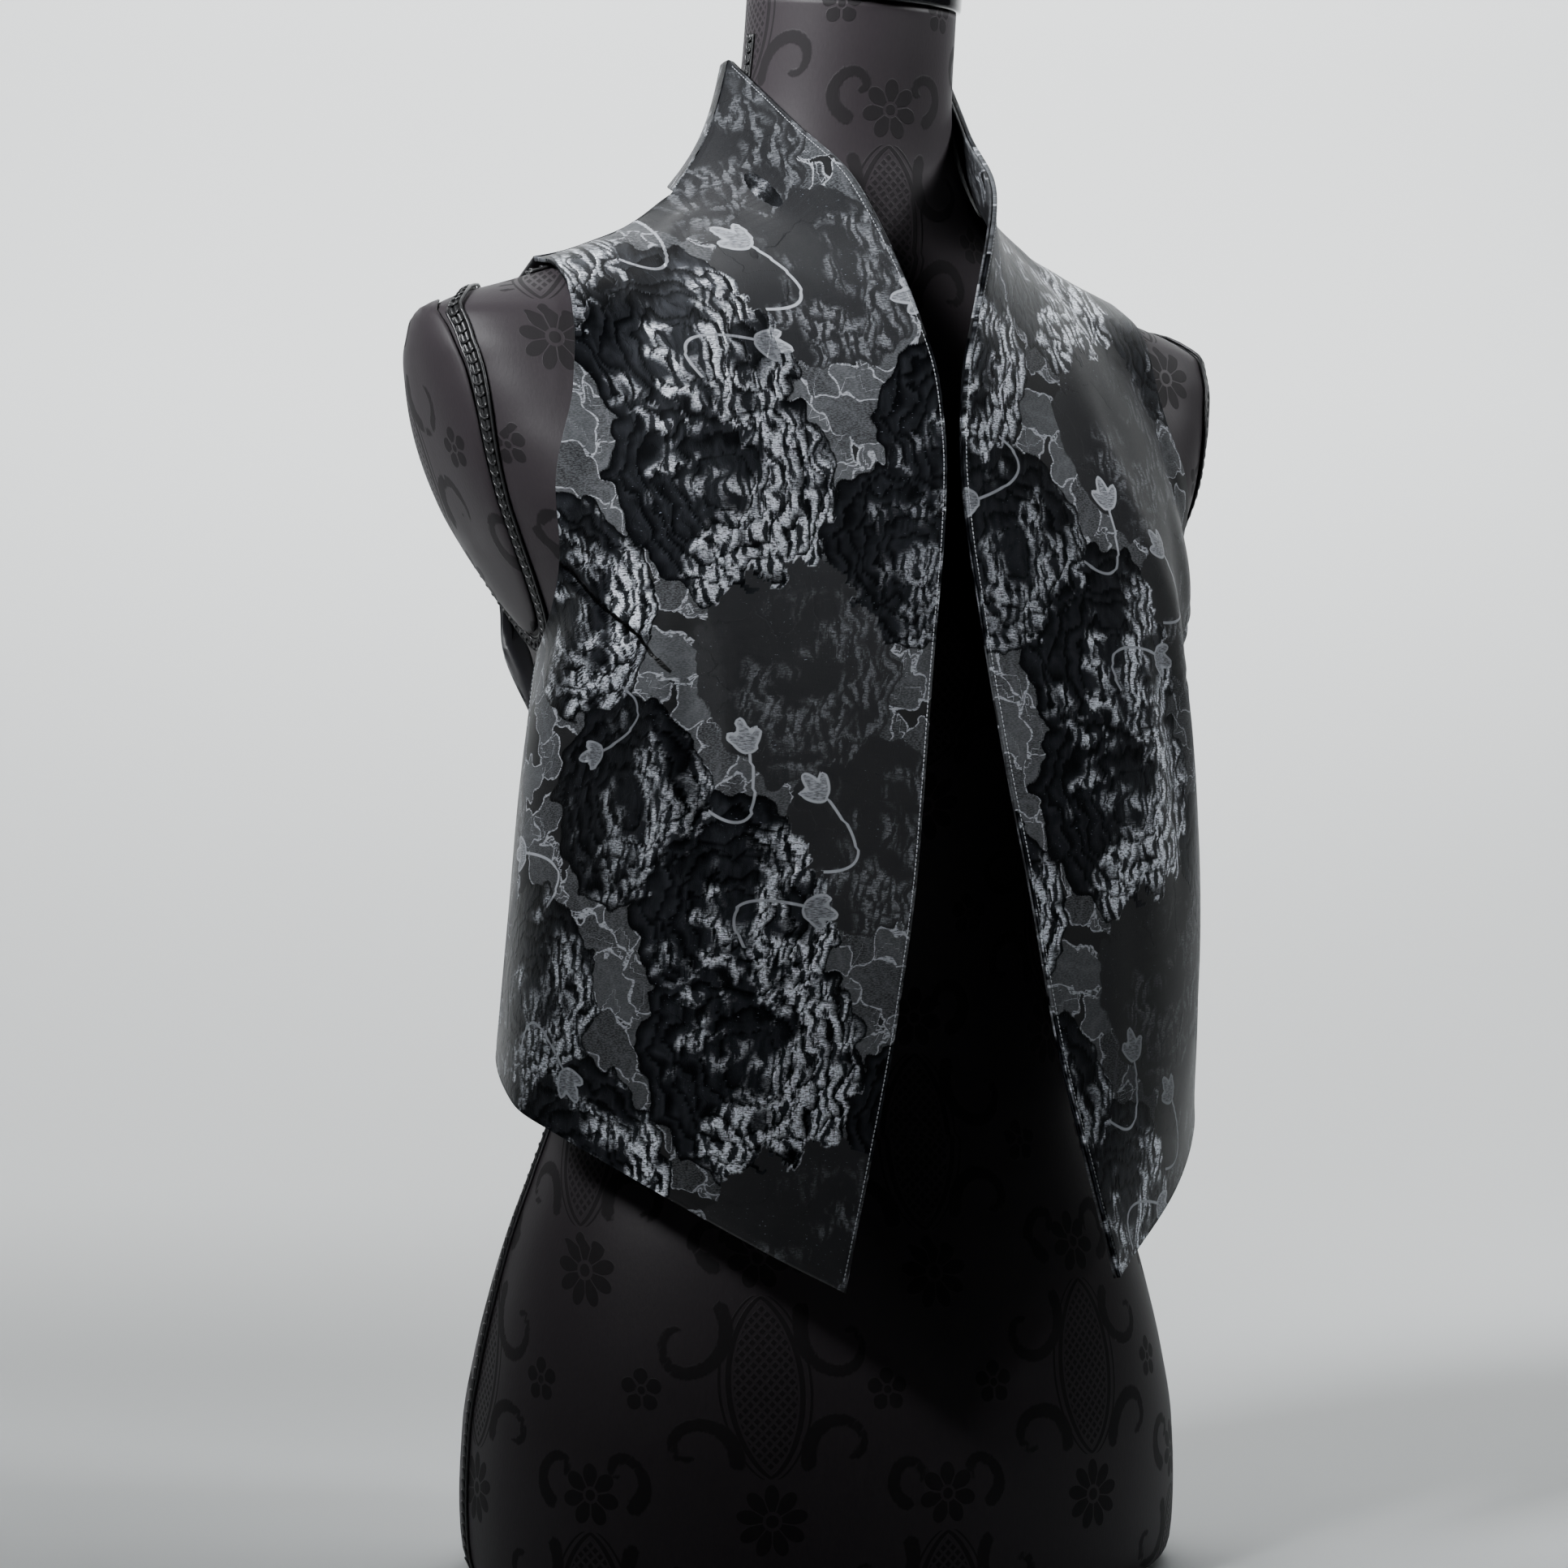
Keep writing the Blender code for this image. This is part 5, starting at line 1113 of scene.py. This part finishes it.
# cast rays run to -X, so the ring turns the other way on this side
if np.cross(plate_points[2] - plate_points[0], plate_points[1] - plate_points[0])[0] > 0:
    plate_faces = [f[::-1] for f in plate_faces]
for side in ("L", "R"):
    p, f = (plate_points, plate_faces) if side == "L" else mirrored(plate_points, plate_faces)
    plate = make_mesh(f"plate_{side}", p, [list(face) for face in f], DAMASK, {"damask": damask_fields(p[:, 1] + 40.0, p[:, 2]), "weft": np.stack([p[:, 1] + 40.0, p[:, 2], 0 * p[:, 0]], axis=1)})
    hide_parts(f"arm_plate_{side}")
    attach(plate, "root")


def tube(path, out, radius, sides=6, shut=False):
    along = np.roll(path, -1, 0) - np.roll(path, 1, 0) if shut else np.gradient(path, axis=0)
    along = unit(along)
    out = unit(out - (out * along).sum(1, keepdims=True) * along)
    across = np.cross(along, out)
    turn = np.linspace(0, 2 * np.pi, sides, endpoint=False)
    points = (path[:, None] + radius * (out[:, None] * np.cos(turn)[None, :, None] + across[:, None] * np.sin(turn)[None, :, None])).reshape(-1, 3)
    count, faces = len(path), []
    for i in range(count if shut else count - 1):
        j = (i + 1) % count
        faces += [[i * sides + m, j * sides + m, j * sides + (m + 1) % sides, i * sides + (m + 1) % sides][::-1] for m in range(sides)]
    if not shut:
        faces += [list(range(sides))[::-1], list(range((count - 1) * sides, count * sides))]
    return points, faces


def joined(parts):
    points, faces, base = [], [], 0
    for p, f in parts:
        points.append(p)
        faces += [[i + base for i in face] for face in f]
        base += len(p)
    return np.concatenate(points), faces


def resample(points, out, step, shut=False):
    if shut:
        points, out = np.concatenate([points, points[:1]]), np.concatenate([out, out[:1]])
    gone = np.concatenate([[0], np.cumsum(np.linalg.norm(np.diff(points, axis=0), axis=1))])
    count = int(gone[-1] / step)
    at = np.linspace(0, gone[-1], count, endpoint=not shut)
    pick = lambda v: np.stack([np.interp(at, gone, v[:, c]) for c in range(3)], axis=1)
    return pick(points), unit(pick(out)), at, gone[-1]


def gimp(name, node, points, out, shut=False, wide=1.0):
    """Looped gimp braid: a cord that runs in rings over four flat ones."""
    path, out, at, length = resample(points, out, 0.34, shut)
    along = unit(np.roll(path, -1, 0) - np.roll(path, 1, 0)) if shut else unit(np.gradient(path, axis=0))
    across = unit(np.cross(along, out))
    loops = max(1, round(length / 4.8))
    phase = (at / length * loops * 2 * np.pi)[:, None]
    parts = [tube(path + across * (1.75 * wide * np.cos(phase)) + along * (1.9 * np.sin(phase)) + out * (1.35 + 0.45 * np.sin(phase)), out, 0.55, 5, shut)]
    few = path[::4], out[::4], across[::4]
    for shift in (-2.7, -0.9, 0.9, 2.7):
        parts.append(tube(few[0] + few[2] * shift * wide + few[1] * 0.55, few[1], 0.95 * wide if abs(shift) < 2 else 0.8, 5, shut))
    obj = make_mesh(name, *joined(parts), BRAID)
    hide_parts(node)
    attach(obj, "root")


flip = np.array([-1.0, 1.0, 1.0])
ring_spots, ring_out = cast(form_tree, plate_ring(1.0 + (0.5 * BRAID_WIDTH + 0.6) / 45.0, 160))
neck_z = np.concatenate([np.linspace(676.0, 616.0, 30), np.linspace(613.0, 566.0, 40)])
shoulder = [form_point(np.array([0.02]), np.array([z]))[0] for z in neck_z]
over, over_out = on_form(form_tree, [p for p in shoulder if p[0] < 163.0])
down, down_out = side_path(form_tree, 4.0, PLATE["z"] - PLATE["half_z"] * 1.14 - 4.0, 120, lambda h: 8.0 + 4.0 * math.sin(math.pi * min(h, 400) / 400.0))
for side, sign in (("L", np.ones(3)), ("R", flip)):
    gimp(f"gimp_plate_{side}", f"braid_plate_{side}", ring_spots * sign, unit(ring_out + np.array([0.6, 0, 0])) * sign, True, 1.35)
    gimp(f"gimp_shoulder_{side}", f"braid_shoulder_{side}", over * sign, over_out * sign)
    gimp(f"gimp_side_{side}", f"braid_side_{side}", down * sign, down_out * sign)


# ---------- waistcoat ----------

cloth = cloth_faces(low_tree, FRONT_U, FRONT_V, BACK_U // 2, BACK_V, COLLAR_U // 2, COLLAR_V)
front = finer(cloth["front"][0], FINE_V, FINE_U)
n_front = unit(finer(cloth["front"][1], FINE_V, FINE_U))
axis_x, axis_y = cloth_axes(front)

# Creases, given one by one: centre (mm across, mm up), half length, half width, depth, lean from upright (degrees).
CREASE_COLUMNS = ("x", "y", "long", "wide", "deep", "lean")
CREASES = {
    "R": (
        (118.0, 372.0, 52.0, 9.0, -3.4, 4.0),
        (134.0, 366.0, 44.0, 8.0, 2.0, 6.0),
        (104.0, 356.0, 58.0, 9.0, 1.9, -3.0),
        (88.0, 270.0, 70.0, 13.0, -1.0, 5.0),
        (140.0, 262.0, 60.0, 12.0, 1.0, -6.0),
        (64.0, 452.0, 40.0, 11.0, -0.9, 18.0),
        (52.0, 604.0, 26.0, 10.0, -2.6, 22.0),
        (112.0, 520.0, 30.0, 9.0, -0.9, -28.0),
    ),
    "L": (
        (112.0, 380.0, 58.0, 9.0, -2.7, -8.0),
        (130.0, 392.0, 48.0, 9.0, 1.4, -10.0),
        (96.0, 340.0, 50.0, 11.0, 1.0, 3.0),
        (82.0, 262.0, 62.0, 12.0, -1.2, -4.0),
        (146.0, 280.0, 54.0, 11.0, 0.9, 7.0),
        (92.0, 470.0, 46.0, 9.0, 1.2, -20.0),
        (56.0, 596.0, 28.0, 9.0, -1.3, 16.0),
    ),
}
DART = ((154.0, -64.0, 436.0), (131.0, -120.0, 394.0))  # armhole end and point
DART_INTAKE = 9.0


def nearest(grid, spot):
    flat = np.linalg.norm(grid - np.array(spot), axis=-1)
    return np.unravel_index(flat.argmin(), flat.shape)


def shaped(side):
    """The front's outer face with its creases, dart and turned edges."""
    move = np.zeros(axis_x.shape)
    for x, y, long, wide, deep, lean in CREASES[side]:
        a = math.radians(lean)
        s = (axis_x - x) * math.sin(a) + (axis_y - y) * math.cos(a)
        t = (axis_x - x) * math.cos(a) - (axis_y - y) * math.sin(a)
        move += deep * bell(s / long) * bell((t + 0.0012 * s * s) / wide)
    a, b = nearest(front, DART[0]), nearest(front, DART[1])
    p, q = np.array([axis_x[a], axis_y[a]]), np.array([axis_x[b], axis_y[b]])
    spot = np.stack([axis_x, axis_y], axis=-1) - p
    s = np.clip((spot @ (q - p)) / float((q - p) @ (q - p)), 0, 1)
    d = np.linalg.norm(spot - s[..., None] * (q - p), axis=-1)
    move += (-1.5 * bell(d / 1.7) + 0.75 * bell((d - 4.4) / 2.6)) * (1 - 0.75 * s)
    u = np.linspace(0, 1, FINE_U + 1)[None, :]
    v = np.linspace(0, 1, FINE_V + 1)[:, None]
    inside = np.clip(np.minimum(u, 1 - u) * 26, 0, 1) * np.clip(np.minimum(v, 1 - v) * 34, 0, 1)
    # the pressed edge is a little fuller than the cloth just inside its stitching
    rim = np.minimum(u * 150, np.minimum(v * 520, (1 - v) * 400))
    return front + n_front * (move * inside - 0.30 * bell((rim - 1.6) / 0.8))[..., None]


PATTERN = {"L": (176.0, 128.0, -1.0), "R": (0.0, 0.0, 1.0)}  # shift across and up, and way round, of the design


def taken_in(x, y):
    """How far the dart shifts the design at cloth points x, y, most at the armhole."""
    a, b = nearest(front, DART[0]), nearest(front, DART[1])
    p, q = np.array([axis_x[a], axis_y[a]]), np.array([axis_x[b], axis_y[b]])
    way = q - p
    s = np.clip(((x - p[0]) * way[0] + (y - p[1]) * way[1]) / float(way @ way), 0, 1)
    off = ((x - p[0]) * way[1] - (y - p[1]) * way[0]) / float(np.hypot(*way))
    below = off * (1.0 if way[0] < 0 else -1.0)
    return np.where(below < 0, DART_INTAKE * (1 - s) * np.exp(below / 45.0), 0.0)


def dart_line(x, y):
    """Distance, with a side, from the dart's seam, and where along it the seam runs."""
    a, b = nearest(front, DART[0]), nearest(front, DART[1])
    p, q = np.array([axis_x[a], axis_y[a]]), np.array([axis_x[b], axis_y[b]])
    way = q - p
    raw = ((x - p[0]) * way[0] + (y - p[1]) * way[1]) / float(way @ way)
    off = ((x - p[0]) * way[1] - (y - p[1]) * way[0]) / float(np.hypot(*way))
    return off, ((raw > -0.2) & (raw < 1.0) & (np.abs(off) < 5.0)) * 1.0


def design(side, x, y):
    across, up_by, way = PATTERN[side]
    seam, seam_on = dart_line(x, y)
    y = y + taken_in(x, y)
    fields = brocade_fields(x * way + across, y + up_by)
    fields.update(seam=seam.ravel(), seam_on=seam_on.ravel())
    flat = np.stack([(x * way + across).ravel(), (y + up_by).ravel(), np.zeros(x.size)], axis=1)
    return {**fields, "cloth": flat}


def placed(obj, node, grid):
    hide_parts(node)
    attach(obj, "root")
    flat, area = flat_of(grid)
    print("SHEET", obj.name, "flat m %.3f x %.3f, area m2 %.4f" % (*flat, area))


def stitches(name, path, out, pitch=1.9, length=1.35, radius=0.20):
    """Row of small stitches along a line on the cloth."""
    path, out, at, total = resample(path, out, 0.2)
    parts = []
    for start in np.arange(1.0, total - length, pitch):
        a = [start + length * k / 3 for k in range(4)]
        spots = np.stack([np.interp(a, at, path[:, c]) for c in range(3)], axis=1)
        outs = unit(np.stack([np.interp(a, at, out[:, c]) for c in range(3)], axis=1))
        sunk = np.array([-0.16, 0.12, 0.12, -0.16])[:, None]
        parts.append(tube(spots + outs * sunk, outs, radius, 5))
    obj = make_mesh(name, *joined(parts), THREAD)
    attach(obj, "root")
    return obj


EDGE_GAP, SIDE_GAP = 1.3, 4.2  # mm along the cloth from the edge


def inset(grid, normals, rows, gap, far):
    """Points and normals of a line that keeps a distance from the near or far edge of the cloth."""
    spots, outs = [], []
    for r in rows:
        line, way = (grid[r][::-1], normals[r][::-1]) if far else (grid[r], normals[r])
        run = np.concatenate([[0], np.cumsum(np.linalg.norm(np.diff(line, axis=0), axis=1))])
        spots.append([np.interp(gap, run, line[:, c]) for c in range(3)])
        outs.append([np.interp(gap, run, way[:, c]) for c in range(3)])
    return np.array(spots), unit(np.array(outs))


for side in ("L", "R"):
    grid = shaped(side)
    fields = design(side, axis_x, axis_y)
    sign = np.ones(3) if side == "L" else flip
    points, faces, source = shell(grid, n_front, WALL)
    if side == "R":
        points, faces = points * flip, [f[::-1] for f in faces]
    obj = make_mesh(f"waistcoat_front_{side}", points, faces, BROCADE, {k: v[source] for k, v in fields.items()})
    placed(obj, f"front_{side}", grid)
    edge = int(round(ROLL_U * FINE_U / (2 * COARSE))) * 2 * COARSE + 1
    part, n_part = front[::2, :edge:2], n_front[::2, :edge:2]
    points, faces, source = shell(part, n_part, FACING_WALL, WALL + FACING_GAP, 2, True)
    if side == "R":
        points, faces = points * flip, [f[::-1] for f in faces]
    inner = design("R" if side == "L" else "L", axis_x[::2, :edge:2], axis_y[::2, :edge:2])
    obj = make_mesh(f"waistcoat_facing_{side}", points, faces, FACING, {k: v[source] for k, v in inner.items()})
    placed(obj, f"facing_{side}", part)
    rows_at = np.arange(2, FINE_V - 1)
    spots, outs = inset(grid, n_front, rows_at, EDGE_GAP, False)
    stitches(f"stitch_edge_{side}", spots * sign, outs * sign)
    side_rows = np.arange(2, round(SIDE_TOP * FINE_V))
    spots, outs = inset(grid, n_front, side_rows, SIDE_GAP, True)
    stitches(f"stitch_side_{side}", spots * sign, outs * sign)

back, n_back = whole(*cloth["back"])
fine_back, n_fine = finer(back, BACK_V * 6, BACK_U * 6), unit(finer(n_back, BACK_V * 6, BACK_U * 6))
bx, bz = fine_back[..., 0], fine_back[..., 2]
soft = -1.3 * bell((bx - 34) / 13) * bell((bz - 300) / 60) + 1.1 * bell((bx + 40) / 15) * bell((bz - 318) / 66)
soft += -1.0 * bell((bx + 74) / 12) * bell((bz - 290) / 44) + 0.9 * bell((bx - 80) / 13) * bell((bz - 330) / 52)
bu, bv = np.linspace(0, 1, BACK_U * 6 + 1)[None, :], np.linspace(0, 1, BACK_V * 6 + 1)[:, None]
soft *= np.clip(np.minimum(bu, 1 - bu) * 16, 0, 1) * np.clip(np.minimum(bv, 1 - bv) * 20, 0, 1)
fine_back = fine_back + n_fine * np.maximum(soft, -0.6)[..., None]
points, faces, source = shell(fine_back, n_fine, WALL, step=6)
obj = make_mesh("waistcoat_back", points, faces, SATIN)
placed(obj, "back", fine_back)

collar, n_collar = whole(*cloth["collar"])
fine_collar, n_fc = finer(collar, COLLAR_V * 8, COLLAR_U * 8), unit(finer(n_collar, COLLAR_V * 8, COLLAR_U * 8))
run = np.concatenate([np.zeros((fine_collar.shape[0], 1)), np.cumsum(np.linalg.norm(np.diff(fine_collar, axis=1), axis=-1), axis=1)], axis=1)
points, faces, source = shell(fine_collar, n_fc, WALL, step=4)
fields = design("L", run, fine_collar[..., 2])
obj = make_mesh("waistcoat_back_collar", points, faces, BROCADE, {k: v[source] for k, v in fields.items()})
placed(obj, "back_collar", fine_collar)


# ---------- floor, backdrop, light and camera ----------

TURN, DISTANCE, EYE = math.radians(25.0), 1.6, 0.347
ahead = np.array([math.sin(TURN), math.cos(TURN), 0.0])
right = np.array([math.cos(TURN), -math.sin(TURN), 0.0])
bend = np.linspace(0, 0.5 * np.pi, 25)
profile = [(-3.0, 0.0), (1.4, 0.0)] + [(1.4 + 1.2 * math.sin(a), 1.2 - 1.2 * math.cos(a)) for a in bend] + [(2.6, 4.0)]
sweep, sweep_faces = [], []
for along_floor, high in profile:
    for wide in (-4.0, 4.0):
        sweep.append((ahead * along_floor + right * wide + np.array([0, 0, high - 0.0005])) / MM)
for i in range(len(profile) - 1):
    sweep_faces.append([2 * i, 2 * i + 1, 2 * i + 3, 2 * i + 2])
paper = Nodes("backdrop", Roughness=0.9)
spot = paper.add("ShaderNodeTexCoord").outputs["Object"]
where = paper.add("ShaderNodeSeparateXYZ")
paper.link(spot, where.inputs[0])
depth = paper.math("ADD", paper.math("MULTIPLY", where.outputs[0], math.sin(TURN)), paper.math("MULTIPLY", where.outputs[1], math.cos(TURN)))
# painted shade: the paper is coloured darker low on the wall and on the floor behind the form, full tone high on the
# wall and on the floor near the form
painted_falloff = paper.math("ADD", 0.60, paper.math("MULTIPLY", paper.over(where.outputs[2], -0.08, 0.95), 0.42))
painted_falloff = paper.math("ADD", painted_falloff, paper.math("MULTIPLY", paper.math("SUBTRACT", 1.0, paper.over(depth, -0.1, 0.55)), 0.44))
tone = paper.mix(paper.noise(spot, 0.6), (0.68, 0.705, 0.71), (0.72, 0.74, 0.745))
paper.link(paper.mix(painted_falloff, (0.0, 0.0, 0.0), tone), paper.shader.inputs["Base Color"])
make_mesh("backdrop", sweep, sweep_faces, paper.mat)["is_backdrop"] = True


def soft_box(name, place, aim, size, power, colour=(1, 1, 1), spread=180):
    light = bpy.data.lights.new(name, "AREA")
    light.shape, light.size, light.size_y, light.energy, light.color = "RECTANGLE", size[0], size[1], power, colour
    light.spread = math.radians(spread)
    obj = bpy.data.objects.new(name, light)
    obj.location = place
    obj.rotation_euler = (Vector(aim) - Vector(place)).to_track_quat("-Z", "Y").to_euler()
    bpy.context.scene.collection.objects.link(obj)


def beside(side, forward, high):
    return tuple(right * side + ahead * forward + np.array([0, 0, high]))


soft_box("key", beside(-0.95, -0.95, 1.50), (0, 0, 0.70), (0.50, 0.60), 4.7, (0.96, 0.98, 1.0), 33)
soft_box("rim", beside(1.15, -0.10, 1.45), (0, 0, 0.72), (0.40, 0.50), 1.55, (0.96, 0.98, 1.0), 34)
soft_box("wall_high", beside(0.0, 0.85, 2.5), beside(0.0, 2.6, 1.15), (3.4, 0.9), 141.0, (1.0, 1.0, 1.0), 150)
soft_box("wall_floor", beside(0.0, 1.7, 2.9), beside(0.0, 1.7, 0.0), (3.6, 1.6), 20.0, (0.97, 0.985, 1.0), 130)
world = bpy.data.worlds.new("room")
world.use_nodes = True
world.node_tree.nodes["Background"].inputs["Color"].default_value = (0.80, 0.84, 0.88, 1.0)
world.node_tree.nodes["Background"].inputs["Strength"].default_value = 0.010
bpy.context.scene.world = world

lens = bpy.data.cameras.new("camera")
lens.sensor_width, lens.lens = 36.0, DISTANCE / 0.000365 / 1932 * 36.0
lens.clip_start, lens.clip_end = 0.05, 30.0
camera = bpy.data.objects.new("camera", lens)
EYE_SIDE = -0.0168  # the picture's centre lies this far to the left of the form's axis
ROLL = math.radians(0.6)
camera.location = tuple(right * EYE_SIDE - ahead * DISTANCE + np.array([0, 0, EYE]))
camera.rotation_mode = "QUATERNION"
camera.rotation_quaternion = Vector(ahead).to_track_quat("-Z", "Y") @ Quaternion((0, 0, 1), ROLL)
bpy.context.scene.collection.objects.link(camera)
bpy.context.scene.camera = camera

low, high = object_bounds()
{"cad": CAD_BOX, "visual": [[float(c) for c in low], [float(c) for c in high]]}
